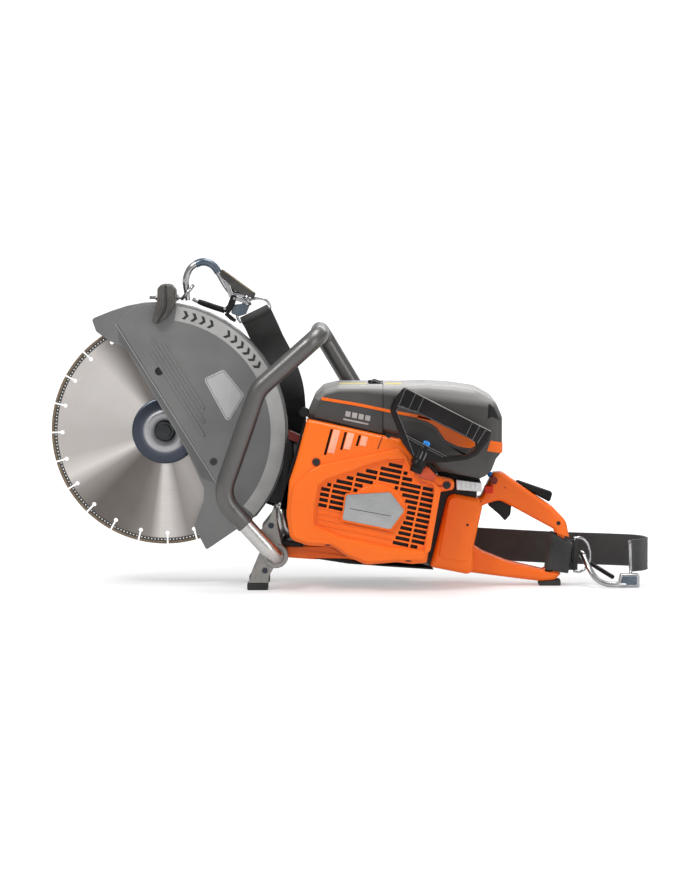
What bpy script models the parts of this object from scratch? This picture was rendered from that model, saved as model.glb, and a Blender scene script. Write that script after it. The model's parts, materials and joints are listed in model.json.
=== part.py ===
"""Rescue saw: a petrol disc cutter with a tilting blade guard, a pull start and a carrying sling.

Axes: +X towards the rear handle, +Y away from the starter side, +Z up. The origin lies on the ground under
the middle of the saw. All lengths are in metres.
"""

from math import acos, atan2, cos, pi, radians, sin, sqrt, tan

import bmesh
import bpy
from mathutils import Matrix, Vector

# --- Driving dimensions -------------------------------------------------------------------------------

GAP = 0.0003  # between pieces that touch
ROUND = 16  # sides of a small round piece
SHORT = 0.0005  # clearance of a loose fit
LARGE_EDGE = 0.006  # from this size an edge is rounded, not chamfered

SPINDLE = (-0.287, 0.2395)  # x, z of the blade's axis
CRANK = (0.040, 0.123)  # x, z of the engine's crank axis
ENGINE_TILT = radians(12)  # the engine leans back by this much

BLADE_RADIUS = 0.175
BLADE_THICKNESS = 0.0032
BLADE_Y = -0.005
BLADE_SEGMENTS = 24
ARBOR_RADIUS = 0.0127
FLANGE_RADIUS = 0.051

GUARD_CENTRE = (-0.297, 0.2385)
GUARD_RADIUS = 0.199
GUARD_NEAR_Y = -0.030
GUARD_FAR_Y = 0.023
GUARD_WALL = 0.003
GUARD_RIM = 0.0085
NECK_RADIUS = 0.026

ARM_NEAR_Y = 0.034
ARM_FAR_Y = 0.0455
BELT_GUARD_FAR_Y = 0.104
BELT_Y = (0.056, 0.070)
DRIVEN_PULLEY_RADIUS = 0.042
DRIVE_PULLEY_RADIUS = 0.021
BELT_THICKNESS = 0.004

STARTER_NEAR_Y = -0.105
STARTER_FAR_Y = -0.058
COVER_HALF_WIDTH = 0.086
COVER_WALL = 0.003

HANDLE_TUBE_RADIUS = 0.0125
HANDLE_GRIP_RADIUS = 0.0142
HANDLE_NEAR_Y = -0.098
HANDLE_FAR_Y = 0.112

REAR_HANDLE_HALF_WIDTH = 0.019
TANK_HALF_WIDTH = 0.058
FOOT_PAD_HEIGHT = 0.010

PULL_NEAR_Y = -0.130
PULL_FAR_Y = -0.1075

WEBBING_WIDTH = 0.050
WEBBING_THICKNESS = 0.0024

# --- Starting state -----------------------------------------------------------------------------------


def clear_scene():
    for obj in list(bpy.data.objects):
        bpy.data.objects.remove(obj, do_unlink=True)


clear_scene()

# --- Materials ----------------------------------------------------------------------------------------


def material(name, colour, roughness, metallic=0.0):
    made = bpy.data.materials.new(name)
    made.use_nodes = True
    shader = made.node_tree.nodes["Principled BSDF"]
    shader.inputs["Base Color"].default_value = (*colour, 1.0)
    shader.inputs["Roughness"].default_value = roughness
    shader.inputs["Metallic"].default_value = metallic
    made.diffuse_color = (*colour, 1.0)
    return made


ORANGE = material("orange_shell", (0.92, 0.13, 0.02), 0.32)
DARK_GREY = material("dark_grey_cover", (0.10, 0.10, 0.10), 0.45)
BLACK = material("black_plastic", (0.018, 0.017, 0.018), 0.45)
RUBBER = material("rubber", (0.03, 0.03, 0.03), 0.75)
GRIP = material("grip_rubber", (0.07, 0.07, 0.07), 0.65)
CAST_GREY = material("guard_magnesium", (0.20, 0.20, 0.20), 0.5, 0.3)
STEEL = material("steel", (0.55, 0.54, 0.52), 0.32, 1.0)
BLADE_STEEL = material("blade_steel", (0.62, 0.58, 0.55), 0.35, 1.0)
DARK_STEEL = material("dark_steel", (0.09, 0.10, 0.12), 0.4, 0.8)
CHROME = material("chrome", (0.8, 0.8, 0.8), 0.12, 1.0)
ALUMINIUM = material("aluminium", (0.62, 0.62, 0.62), 0.35, 1.0)
CAST_IRON = material("engine_castings", (0.16, 0.16, 0.17), 0.55, 0.7)
WEBBING = material("webbing", (0.02, 0.02, 0.02), 0.85)
RED = material("red_plastic", (0.75, 0.03, 0.02), 0.4)
BLUE = material("blue_plastic", (0.02, 0.25, 0.75), 0.4)
FOAM = material("filter_foam", (0.25, 0.22, 0.12), 0.95)

# --- Outlines in the XZ plane -------------------------------------------------------------------------


def arc(centre, radius, start, end, steps):
    """Points of an arc, with both ends, from the start angle to the end angle in degrees."""
    points = []
    for step in range(steps + 1):
        angle = radians(start + (end - start) * step / steps)
        points.append((centre[0] + radius * cos(angle), centre[1] + radius * sin(angle)))
    return points


def circle(centre, radius, sides=ROUND):
    return arc(centre, radius, 0, 360 * (sides - 1) / sides, sides - 1)


def rounded(corners, steps=3):
    """A closed outline through the corners (x, z, radius), each rounded by an arc of its radius."""
    outline = []
    for i, (x, z, radius) in enumerate(corners):
        here = Vector((x, z))
        if radius == 0:
            outline.append((x, z))
            continue
        to_last = (Vector(corners[i - 1][:2]) - here).normalized()
        to_next = (Vector(corners[(i + 1) % len(corners)][:2]) - here).normalized()
        half = acos(max(-1.0, min(1.0, to_last.dot(to_next)))) / 2
        centre = here + (to_last + to_next).normalized() * radius / sin(half)
        first = here + to_last * radius / tan(half) - centre
        last = here + to_next * radius / tan(half) - centre
        start = atan2(first.y, first.x)
        turn = (atan2(last.y, last.x) - start + pi) % (2 * pi) - pi
        for step in range(steps + 1):
            angle = start + turn * step / steps
            outline.append((centre.x + radius * cos(angle), centre.y + radius * sin(angle)))
    return outline


def area_of(outline):
    total = 0.0
    for i, (x, z) in enumerate(outline):
        after = outline[(i + 1) % len(outline)]
        total += x * after[1] - after[0] * z
    return total / 2


def inset(outline, distance):
    """The outline moved inwards by a distance, corner by corner."""
    side = 1 if area_of(outline) > 0 else -1
    moved = []
    for i, point in enumerate(outline):
        here = Vector(point)
        into = (here - Vector(outline[i - 1])).normalized()
        out = (Vector(outline[(i + 1) % len(outline)]) - here).normalized()
        normal_in = Vector((-into.y, into.x)) * side
        normal_out = Vector((-out.y, out.x)) * side
        shift = (normal_in + normal_out) / (1 + normal_in.dot(normal_out))
        moved.append(tuple(here + shift * distance))
    return moved


def section_of(outline, distance=0.0):
    """The outline moved inwards, as points. Its corners are (x, z), or (x, z, radius) if rounded."""
    corners = [(*corner, 0.0)[:3] for corner in outline]
    flat = [corner[:2] for corner in corners]
    side = 1 if area_of(flat) > 0 else -1
    moved = inset(flat, distance) if distance else flat
    shaped = []
    for i, (x, z) in enumerate(moved):
        radius = corners[i][2]
        if radius:
            into = Vector(flat[i]) - Vector(flat[i - 1])
            out = Vector(flat[(i + 1) % len(flat)]) - Vector(flat[i])
            convex = (into.x * out.y - into.y * out.x) * side > 0
            radius = max(radius - distance, 0.0002) if convex else radius + distance
        shaped.append((x, z, radius))
    return rounded(shaped)


def belt_line(first, first_radius, second, second_radius, steps=12):
    """The outline of a tight band round two circles."""
    a = Vector(first)
    b = Vector(second)
    along = atan2((b - a).y, (b - a).x)
    lean = acos((first_radius - second_radius) / (b - a).length)
    start = along + lean
    outline = []
    for step in range(steps + 1):
        angle = start + (2 * pi - 2 * lean) * step / steps
        outline.append((a.x + first_radius * cos(angle), a.y + first_radius * sin(angle)))
    for step in range(steps + 1):
        angle = along - lean + 2 * lean * step / steps
        outline.append((b.x + second_radius * cos(angle), b.y + second_radius * sin(angle)))
    return outline


# --- Solids -------------------------------------------------------------------------------------------


def finished(name, mesh_builder, look, smooth=True):
    """Turns the bmesh into an object with its material."""
    bmesh.ops.remove_doubles(mesh_builder, verts=mesh_builder.verts, dist=1e-7)
    bmesh.ops.recalc_face_normals(mesh_builder, faces=mesh_builder.faces)
    mesh = bpy.data.meshes.new(name)
    mesh_builder.to_mesh(mesh)
    mesh_builder.free()
    obj = bpy.data.objects.new(name, mesh)
    bpy.context.scene.collection.objects.link(obj)
    if look:
        mesh.materials.append(look)
    if smooth:
        mesh.shade_smooth()
        mesh.set_sharp_from_angle(angle=radians(35))
    return obj


def loft(name, outline, sections, look=None):
    """A closed solid whose section at each (y, inset) is the outline moved inwards by that inset."""
    built = bmesh.new()
    rings = []
    for y, distance in sections:
        rings.append([built.verts.new((x, y, z)) for x, z in section_of(outline, distance)])
    count = len(rings[0])
    for near, far in zip(rings, rings[1:]):
        for i in range(count):
            j = (i + 1) % count
            built.faces.new((near[i], near[j], far[j], far[i]))
    built.faces.new(rings[0])
    built.faces.new(rings[-1])
    return finished(name, built, look)


def slab(name, outline, near, far, look=None, edge=0.0, far_edge=None):
    """A flat solid between two y values. A small edge is chamfered, and a large one is rounded."""
    far_edge = edge if far_edge is None else far_edge
    sections = [(near + depth, into) for depth, into in edge_steps(edge)]
    sections += [(far - depth, into) for depth, into in reversed(edge_steps(far_edge))]
    return loft(name, outline, sections, look)


def edge_steps(edge):
    """(depth, inset) of the sections that ease an edge, from its face inwards."""
    if not edge:
        return [(0.0, 0.0)]
    if edge < LARGE_EDGE:
        return [(0.0, edge), (edge, 0.0)]
    return [(0.0, edge), (0.3 * edge, 0.3 * edge), (edge, 0.0)]


def turned(name, profile, centre, look=None, sides=ROUND, axis="Y"):
    """A solid of revolution. The profile is a closed outline of (radius, distance along the axis)."""
    built = bmesh.new()
    ring = [built.verts.new((radius, along, 0.0)) for radius, along in profile]
    edges = [built.edges.new((ring[i - 1], ring[i])) for i in range(len(ring))]
    bmesh.ops.spin(
        built, geom=ring + edges, cent=(0, 0, 0), axis=(0, 1, 0), angle=2 * pi, steps=sides
    )
    bmesh.ops.remove_doubles(built, verts=built.verts, dist=1e-6)
    bmesh.ops.dissolve_degenerate(built, edges=built.edges, dist=1e-7)
    if axis != "Y":
        to_axis = Vector((0, 1, 0)).rotation_difference(Vector(axis)).to_matrix()
        bmesh.ops.rotate(built, verts=built.verts, cent=(0, 0, 0), matrix=to_axis)
    obj = finished(name, built, look)
    obj.location = centre
    return obj


def rod(name, start, end, radius, look=None, sides=ROUND):
    """A plain cylinder between two points."""
    start = Vector(start)
    end = Vector(end)
    built = bmesh.new()
    turn = Vector((0, 0, 1)).rotation_difference(end - start).to_matrix().to_4x4()
    place = Matrix.Translation((start + end) / 2) @ turn
    bmesh.ops.create_cone(
        built, cap_ends=True, segments=sides, radius1=radius, radius2=radius,
        depth=(end - start).length, matrix=place,
    )
    return finished(name, built, look)


def block(name, low, high, look=None):
    built = bmesh.new()
    size = Vector(high) - Vector(low)
    middle = (Vector(high) + Vector(low)) / 2
    place = Matrix.Translation(middle) @ Matrix.Diagonal((*size, 1.0))
    bmesh.ops.create_cube(built, size=1.0, matrix=place)
    return finished(name, built, look, smooth=False)


def bent(points, steps=3):
    """A path through the points (x, y, z, bend radius), each inner corner replaced by an arc."""
    path = [Vector(points[0][:3])]
    for before, here, after in zip(points, points[1:], points[2:]):
        corner = Vector(here[:3])
        radius = here[3]
        to_last = (Vector(before[:3]) - corner).normalized()
        to_next = (Vector(after[:3]) - corner).normalized()
        half = to_last.angle(to_next) / 2
        reach = radius / tan(half)
        centre = corner + (to_last + to_next).normalized() * radius / sin(half)
        first = corner + to_last * reach - centre
        last = corner + to_next * reach - centre
        turn = first.angle(last)
        normal = first.cross(last).normalized()
        for step in range(steps + 1):
            path.append(centre + Matrix.Rotation(turn * step / steps, 3, normal) @ first)
    path.append(Vector(points[-1][:3]))
    return path


def smooth_path(points, per_span=4):
    """A Catmull-Rom curve through the points."""
    points = [Vector(point) for point in points]
    ends = [2 * points[0] - points[1]] + points + [2 * points[-1] - points[-2]]
    path = []
    for a, b, c, d in zip(ends, ends[1:], ends[2:], ends[3:]):
        for step in range(per_span):
            t = step / per_span
            near = -t + 2 * t**2 - t**3
            at = 2 - 5 * t**2 + 3 * t**3
            far = t + 4 * t**2 - 3 * t**3
            path.append((a * near + b * at + c * far + d * (t**3 - t**2)) / 2)
    path.append(points[-1])
    return path


def frames_along(path, across=None):
    """Tangent and two side directions at each point, without twist, or square to the given directions."""
    frames = []
    side = None
    for i, point in enumerate(path):
        tangent = (path[min(i + 1, len(path) - 1)] - path[max(i - 1, 0)]).normalized()
        if across:
            side = across[i]
        elif side is None:
            side = tangent.orthogonal()
        side = (side - tangent * side.dot(tangent)).normalized()
        frames.append((point, side, tangent.cross(side)))
    return frames


def sweep(name, path, section, look=None, closed=False, across=None, hollow=None):
    """The section, a closed outline of (side, other side), carried along the path."""
    built = bmesh.new()
    frames = frames_along(path, across)
    outer = [[built.verts.new(p + u * a + v * b) for a, b in section] for p, u, v in frames]
    count = len(section)
    pairs = list(zip(outer, outer[1:]))
    if closed:
        pairs.append((outer[-1], outer[0]))
    for here, after in pairs:
        for i in range(count):
            j = (i + 1) % count
            built.faces.new((here[i], here[j], after[j], after[i]))
    if hollow:
        inner = [[built.verts.new(p + u * a + v * b) for a, b in hollow] for p, u, v in frames]
        for here, after in zip(inner, inner[1:]):
            for i in range(count):
                j = (i + 1) % count
                built.faces.new((here[j], here[i], after[i], after[j]))
        for out, into in ((outer[0], inner[0]), (outer[-1], inner[-1])):
            for i in range(count):
                j = (i + 1) % count
                built.faces.new((out[i], out[j], into[j], into[i]))
    elif not closed:
        built.faces.new(outer[0])
        built.faces.new(outer[-1])
    return finished(name, built, look)


def tube(name, path, radius, look=None, sides=12, bore=0.0):
    section = circle((0, 0), radius, sides)
    hollow = circle((0, 0), bore, sides) if bore else None
    return sweep(name, path, section, look, hollow=hollow)


def ring_of_wire(name, path, wire, look, sides=6):
    """A closed loop of round wire. The path is planar, so its frames meet without a twist."""
    built = bmesh.new()
    count = len(path)
    middle = sum(path, Vector()) / count
    normal = (path[0] - middle).cross(path[count // 4] - middle).normalized()
    loops = []
    for i, point in enumerate(path):
        tangent = (path[(i + 1) % count] - path[i - 1]).normalized()
        side = tangent.cross(normal)
        section = circle((0, 0), wire, sides)
        loops.append([built.verts.new(point + side * a + normal * b) for a, b in section])
    for i, here in enumerate(loops):
        after = loops[(i + 1) % count]
        for j in range(sides):
            k = (j + 1) % sides
            built.faces.new((here[j], here[k], after[k], after[j]))
    return finished(name, built, look)


def helper(obj):
    obj.hide_render = True
    obj.display_type = "WIRE"
    return obj


def boolean(target, other, operation):
    helper(other)
    cut = target.modifiers.new(operation.lower() + "_" + other.name, "BOOLEAN")
    cut.operation = operation
    cut.solver = "EXACT"
    cut.object = other
    return target


def cut(target, *cutters):
    for cutter in cutters:
        boolean(target, cutter, "DIFFERENCE")
    return target


def join(target, *others):
    for other in others:
        boolean(target, other, "UNION")
    return target


def many_blocks(name, boxes, turn=0.0, about=(0.0, 0.0)):
    """One helper made of separate boxes (x0, x1, z0, z1, y0, y1), turned in the XZ plane about a point."""
    built = bmesh.new()
    for x0, x1, z0, z1, y0, y1 in boxes:
        size = Matrix.Diagonal((x1 - x0, y1 - y0, z1 - z0, 1.0))
        middle = Matrix.Translation(((x0 + x1) / 2, (y0 + y1) / 2, (z0 + z1) / 2))
        bmesh.ops.create_cube(built, size=1.0, matrix=middle @ size)
    place = Matrix.Translation((about[0], 0, about[1])) @ Matrix.Rotation(turn, 4, "Y")
    bmesh.ops.transform(built, matrix=place, verts=built.verts)
    return finished(name, built, None, smooth=False)


def body(name, x, y, z):
    """An empty on a joint's axis, to which the pieces that move with the joint belong."""
    empty = bpy.data.objects.new(name, None)
    empty.location = (x, y, z)
    empty.empty_display_size = 0.02
    bpy.context.scene.collection.objects.link(empty)
    return empty


def attach(parent, *pieces):
    bpy.context.view_layer.update()
    for piece in pieces:
        piece.parent = parent
        piece.matrix_parent_inverse = parent.matrix_world.inverted()


def engine_point(along, up, y=0.0):
    """A point in the engine's own leaning axes, from the crank: along it, and up its cylinder."""
    x = CRANK[0] + along * cos(ENGINE_TILT) + up * sin(ENGINE_TILT)
    z = CRANK[1] - along * sin(ENGINE_TILT) + up * cos(ENGINE_TILT)
    return Vector((x, y, z))


# --- Blade and spindle --------------------------------------------------------------------------------

SLOT_DEPTH = 0.0165
SLOT_HALF_WIDTH = 0.0013
SLOT_EYE_RADIUS = 0.0032
BLADE_NEAR_Y = BLADE_Y - BLADE_THICKNESS / 2
BLADE_FAR_Y = BLADE_Y + BLADE_THICKNESS / 2
SPINDLE_RADIUS = 0.008
BOLT_RADIUS = 0.005
SPINDLE_TIP_Y = BLADE_NEAR_Y + 0.0002
SPINDLE_END_Y = 0.078


def blade_outline():
    """The rim with a keyhole slot between each two segments."""
    outline = []
    pitch = 360 / BLADE_SEGMENTS
    eye_at = BLADE_RADIUS - SLOT_DEPTH
    slot_angle = SLOT_HALF_WIDTH / BLADE_RADIUS * 180 / pi
    for segment in range(BLADE_SEGMENTS):
        middle = segment * pitch + 1
        direction = Vector((cos(radians(middle)), sin(radians(middle))))
        across = Vector((-direction.y, direction.x))
        outline += arc((0, 0), BLADE_RADIUS, middle - pitch + slot_angle, middle - slot_angle, 3)
        for turn in (-30, -90, -180, -270, -330):
            out = eye_at + SLOT_EYE_RADIUS * cos(radians(turn))
            outline.append(tuple(direction * out + across * SLOT_EYE_RADIUS * sin(radians(turn))))
    return [(SPINDLE[0] + x, SPINDLE[1] + z) for x, z in outline]


def make_blade():
    spindle = body("blade_axis", SPINDLE[0], BLADE_Y, SPINDLE[1])
    at = (SPINDLE[0], 0, SPINDLE[1])
    blade = slab("cutting_blade", blade_outline(), BLADE_NEAR_Y, BLADE_FAR_Y, BLADE_STEEL)
    hole = rod("arbor_hole", (at[0], -0.02, at[2]), (at[0], 0.01, at[2]), ARBOR_RADIUS)
    cut(blade, hole)
    near = BLADE_NEAR_Y - GAP
    outer = turned(
        "outer_flange",
        [
            (BOLT_RADIUS + GAP, near), (0.020, near), (0.022, near - 0.0015), (0.038, near - 0.0015),
            (0.040, near), (FLANGE_RADIUS, near), (FLANGE_RADIUS, near - 0.0025),
            (0.046, near - 0.0045), (0.030, near - 0.0050), (0.027, near - 0.0075),
            (BOLT_RADIUS + GAP, near - 0.0075),
        ],
        at, DARK_STEEL, sides=24,
    )
    far = BLADE_FAR_Y + GAP
    inner = turned(
        "inner_flange",
        [
            (SPINDLE_RADIUS + GAP, BLADE_NEAR_Y + 0.0002), (ARBOR_RADIUS - GAP, BLADE_NEAR_Y + 0.0002),
            (ARBOR_RADIUS - GAP, far), (FLANGE_RADIUS, far), (FLANGE_RADIUS, far + 0.0030),
            (0.020, far + 0.0055), (SPINDLE_RADIUS + GAP, far + 0.0055),
        ],
        at, DARK_STEEL, sides=24,
    )
    head_y = near - 0.0075 - GAP
    bolt = turned(
        "arbor_bolt",
        [
            (0.0, head_y - 0.0085), (0.0075, head_y - 0.0085), (0.0085, head_y - 0.0075),
            (0.0085, head_y - 0.0025), (0.013, head_y - 0.0015), (0.013, head_y),
            (BOLT_RADIUS, head_y), (BOLT_RADIUS, 0.014), (0.0, 0.014),
        ],
        at, STEEL,
    )
    shaft = turned(
        "blade_spindle",
        [
            (BOLT_RADIUS + GAP, SPINDLE_TIP_Y), (SPINDLE_RADIUS, SPINDLE_TIP_Y),
            (SPINDLE_RADIUS, SPINDLE_END_Y), (0.0, SPINDLE_END_Y),
            (0.0, 0.016), (BOLT_RADIUS + GAP, 0.016),
        ],
        at, STEEL,
    )
    pulley = make_pulley("driven_pulley", SPINDLE, DRIVEN_PULLEY_RADIUS, SPINDLE_RADIUS + GAP, STEEL)
    attach(spindle, blade, outer, inner, bolt, shaft, pulley)


def make_pulley(name, centre, radius, bore, look):
    low, high = BELT_Y
    rim = 0.0025
    return turned(
        name,
        [
            (bore, low - rim), (radius + 0.003, low - rim), (radius + 0.003, low - GAP),
            (radius, low - GAP), (radius, high + GAP), (radius + 0.003, high + GAP),
            (radius + 0.003, high + rim), (bore, high + rim),
        ],
        (centre[0], 0, centre[1]), look,
    )


# --- Guard --------------------------------------------------------------------------------------------


def make_guard():
    tilt = body("guard_axis", SPINDLE[0], BLADE_Y, SPINDLE[1])
    front_edge = [
            (-0.1965, 0.0749, 0), (-0.2231, 0.0571, 0.003), (-0.2417, 0.0925, 0.006),
            (-0.2264, 0.1352, 0.012), (-0.2262, 0.1520, 0.012), (-0.2526, 0.2096, 0.05),
            (-0.3086, 0.3050, 0.08), (-0.3450, 0.3670, 0.018), (-0.3716, 0.3790, 0.012),
            (-0.3910, 0.3931, 0.006), (-0.3978, 0.4124, 0.004),
        ]
    outline = arc(GUARD_CENTRE, GUARD_RADIUS, 112, -40, 20) + front_edge
    guard = slab("blade_guard", outline, GUARD_NEAR_Y, GUARD_FAR_Y, CAST_GREY)
    hub = rod(
        "guard_hub", (SPINDLE[0], GUARD_FAR_Y - 0.004, SPINDLE[1]), (SPINDLE[0], GUARD_FAR_Y, SPINDLE[1]),
        0.047, sides=24,
    )
    cavity_outline = arc(GUARD_CENTRE, GUARD_RADIUS - GUARD_RIM, 118, -46, 20)
    cavity_outline += [(-0.21, 0.02), (-0.50, 0.02), (-0.50, 0.45)]
    cavity = slab("guard_cavity", cavity_outline, GUARD_NEAR_Y + GUARD_WALL, GUARD_FAR_Y - 0.004)
    hole = rod(
        "guard_hub_hole", (SPINDLE[0], 0.0, SPINDLE[1]), (SPINDLE[0], 0.05, SPINDLE[1]),
        NECK_RADIUS + SHORT, sides=24,
    )
    join(guard, hub)
    cut(guard, cavity, hole)
    attach(tilt, guard, *make_guard_handle(), *make_front_hook())


EYE_ROD_Z = 0.4445
EYE_ROD_RADIUS = 0.003
EYE_CENTRE = (-0.2515, BLADE_Y, 0.4525)
EYE_RADIUS = 0.0135
EYE_LEAN = radians(50)  # the eye rises towards the rear, clear of the hook's gate


def make_guard_handle():
    """The rubber handle on the rim that the guard is tilted by, and the wire eye bolted through it."""
    side = [
            (-0.2965, 0.4382, 0), (-0.2965, 0.4590, 0.006), (-0.2905, 0.4655, 0.006),
            (-0.2760, 0.4655, 0.006), (-0.2690, 0.4570, 0.006), (-0.2685, 0.4382, 0),
        ]
    knob = slab("guard_knob", side, -0.043, 0.008, GRIP, edge=0.003)
    drop = [
            (-0.2965, 0.4420, 0), (-0.2685, 0.4420, 0), (-0.2690, 0.4330, 0.004),
            (-0.2830, 0.4130, 0.006), (-0.2985, 0.4037, 0.004), (-0.3045, 0.4090, 0.003),
        ]
    tail = slab("guard_knob_tail", drop, -0.043, GUARD_NEAR_Y - GAP, edge=0.002, far_edge=0)
    bore = rod(
        "guard_knob_bore", (-0.33, BLADE_Y, EYE_ROD_Z), (-0.25, BLADE_Y, EYE_ROD_Z), 0.0034, sides=12,
    )
    join(knob, tail)
    cut(knob, bore)
    turns = 20
    loop = []
    for step in range(turns):
        angle = 2 * pi * step / turns
        along = EYE_RADIUS * cos(angle)
        offset = Vector((along * cos(EYE_LEAN), EYE_RADIUS * sin(angle), along * sin(EYE_LEAN)))
        loop.append(Vector(EYE_CENTRE) + offset)
    eye = ring_of_wire("guard_eye", loop, EYE_ROD_RADIUS, CHROME)
    stem = rod(
        "guard_eye_stem", (-0.3105, BLADE_Y, EYE_ROD_Z), (-0.2590, BLADE_Y, EYE_ROD_Z), EYE_ROD_RADIUS,
        sides=12
    )
    join(eye, stem)
    return knob, eye


# --- Sling: hooks, rings and webbing ------------------------------------------------------------------

RING_WIRE = 0.0021
HOOK_WIRE = 0.0044
FRONT_ALONG = Vector((0.442, 0.0, -0.897)).normalized()
FRONT_ACROSS = Vector((0.897, 0.0, 0.442)).normalized()
FRONT_BAR = Vector((-0.148, BLADE_Y, 0.4180))
FRONT_APEX = FRONT_BAR - FRONT_ALONG * 0.024
REAR_BAR = Vector((0.3450, 0.0, 0.0465))


def d_ring(name, bar, across, outwards, depth):
    """A D of wire: a straight bar, and a bow that reaches the depth away from it."""
    half = WEBBING_WIDTH / 2 + 0.0015
    flat = [(-half, 0), (-half / 2, 0), (0, 0), (half / 2, 0), (half, 0)]
    bow = [(half * cos(t), 0.006 + (depth - 0.006) * sin(t)) for t in [pi * i / 10 for i in range(11)]]
    path = [bar + across * a + outwards * b for a, b in flat + bow]
    return ring_of_wire(name, path, RING_WIRE, CHROME)


def hook_eye(name, centre, along, sideways, wire=0.0025, radius=0.0078):
    turns = 16
    path = []
    for step in range(turns):
        angle = 2 * pi * step / turns
        path.append(centre + along * radius * cos(angle) + sideways * radius * sin(angle))
    return ring_of_wire(name, path, wire, None)


def make_front_hook():
    """The snap hook that holds the sling on the guard's eye, its gate, and the webbing's ring."""
    y = BLADE_Y
    line = [
        (-0.2515, y, 0.4400), (-0.2535, y, 0.4560), (-0.2545, y, 0.4720), (-0.2480, y, 0.4885),
        (-0.2360, y, 0.4970), (-0.2247, y, 0.4988), (-0.2125, y, 0.4935), (-0.2035, y, 0.4810),
        (-0.1930, y, 0.4630), (-0.1820, y, 0.4500), (-0.1720, y, 0.4480), (-0.1628, y, 0.4482),
    ]
    hook = tube("front_hook", smooth_path(line, 2), HOOK_WIRE, CHROME, sides=8)
    away = Vector((0, 1, 0))
    eye_centre = FRONT_APEX - FRONT_ALONG * 0.002
    eye = hook_eye("front_hook_eye", eye_centre, FRONT_ALONG, away)
    spine_outline = [
            (-0.1850, 0.4560, 0.003), (-0.1900, 0.4330, 0.004), (-0.1790, 0.4250, 0.004),
            (-0.1660, 0.4380, 0.003), (-0.1660, 0.4485, 0.003),
        ]
    spine = slab("front_hook_spine", spine_outline, y - 0.0065, y + 0.0065)
    join(hook, spine, eye)
    ring = d_ring("front_ring", FRONT_BAR, FRONT_ACROSS, -FRONT_ALONG, 0.024)
    make_gate(
        "front_hook_gate", "front_gate_axis", Vector((-0.1945, y, 0.4275)), Vector((-0.2433, y, 0.4356))
    )
    return hook, ring


def make_gate(name, axis_name, pivot, tip):
    """The sprung bar that closes a snap hook, on the empty at its pivot."""
    along = (tip - pivot).normalized()
    gate = tube(name, [pivot + along * 0.003, (pivot + tip) / 2, tip], 0.0034, DARK_STEEL, sides=8)
    attach(body(axis_name, *pivot), gate)
    return gate


def make_rear_hook():
    """The second snap hook, clipped into the ring at the rear handle and lying on the ground."""
    line = [
        (0.3600, 0.0260, 0.0400), (0.3560, 0.0130, 0.0465), (0.3565, -0.0020, 0.0490),
        (0.3590, -0.0170, 0.0440), (0.3650, -0.0320, 0.0300), (0.3760, -0.0430, 0.0140),
        (0.3920, -0.0480, 0.0064), (0.4100, -0.0470, 0.0056), (0.4300, -0.0420, 0.0056),
    ]
    hook = tube("rear_hook", smooth_path(line, 2), HOOK_WIRE, CHROME, sides=8)
    spine = slab(
        "rear_hook_spine",
        [
            (0.4080, 0.0012, 0.002), (0.4420, 0.0012, 0.002), (0.4420, 0.0220, 0.004),
            (0.4120, 0.0220, 0.004),
        ],
        -0.0480, -0.0345,
    )
    bar = tube(
        "rear_hook_bar",
        smooth_path(
            [
                (0.4250, -0.0380, 0.0180), (0.4300, -0.0250, 0.0180), (0.4300, -0.0180, 0.0350),
                (0.4290, -0.0180, 0.0640), (0.4280, -0.0260, 0.0700),
            ],
            2,
        ),
        0.0025, sides=8,
    )
    join(hook, spine, bar)
    gate = make_gate(
        "rear_hook_gate", "rear_gate_axis", Vector((0.4040, -0.0310, 0.0140)), Vector(
            (0.3688, 0.0174, 0.0325),
        )
    )
    return hook, gate


def webbing(name, stations, look, thickness=WEBBING_THICKNESS, width=WEBBING_WIDTH, per_span=3):
    """A strap along the stations, each a point and the direction of the strap's width there."""
    path = smooth_path([station[0] for station in stations], per_span)
    across = smooth_path([station[1] for station in stations], per_span)
    half = width / 2
    thin = thickness / 2
    section = [(-half, -thin), (half, -thin), (half, thin), (-half, thin)]
    return sweep(name, path, section, look, across=across)


def make_sling():
    up = (0.0, 0.0, 1.0)
    stations = [
        ((-0.1465, -0.0010, 0.4165), FRONT_ACROSS),
        ((-0.1400, 0.0070, 0.4030), (0.88, -0.20, 0.43)),
        ((-0.1290, 0.0285, 0.3770), (0.88, -0.20, 0.43)),
        ((-0.1120, 0.0300, 0.3420), (0.90, 0.0, 0.43)),
        ((-0.1010, 0.0380, 0.3100), (0.95, 0.05, 0.25)),
        ((-0.0970, 0.0600, 0.2830), (0.98, 0.0, -0.10)),
        ((-0.0960, 0.0900, 0.2620), (0.95, 0.0, -0.30)),
        ((-0.0960, 0.1110, 0.2280), (0.99, 0.0, -0.10)),
        ((-0.0920, 0.1145, 0.1750), (1.0, 0.0, 0.10)),
        ((-0.0710, 0.1145, 0.1250), (0.90, 0.0, 0.42)),
        ((-0.0280, 0.1140, 0.0800), (0.70, 0.0, 0.72)),
        ((0.0200, 0.1120, 0.0620), (0.25, 0.0, 0.97)),
        ((0.0800, 0.1070, 0.0580), up),
        ((0.1500, 0.0960, 0.0570), up),
        ((0.2300, 0.0820, 0.0540), up),
        ((0.3200, 0.0740, 0.0500), up),
        ((0.4000, 0.0680, 0.0480), up),
        ((0.4450, 0.0560, 0.0470), up),
        ((0.4600, 0.0300, 0.0460), up),
        ((0.4500, 0.0050, 0.0460), up),
        ((0.4340, -0.0080, 0.0460), up),
        ((0.4310, -0.0130, 0.0460), up),
    ]
    stations = [(Vector(point), Vector(across)) for point, across in stations]
    return webbing("sling_webbing", stations, WEBBING)


# --- Engine and its shells ----------------------------------------------------------------------------

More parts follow.
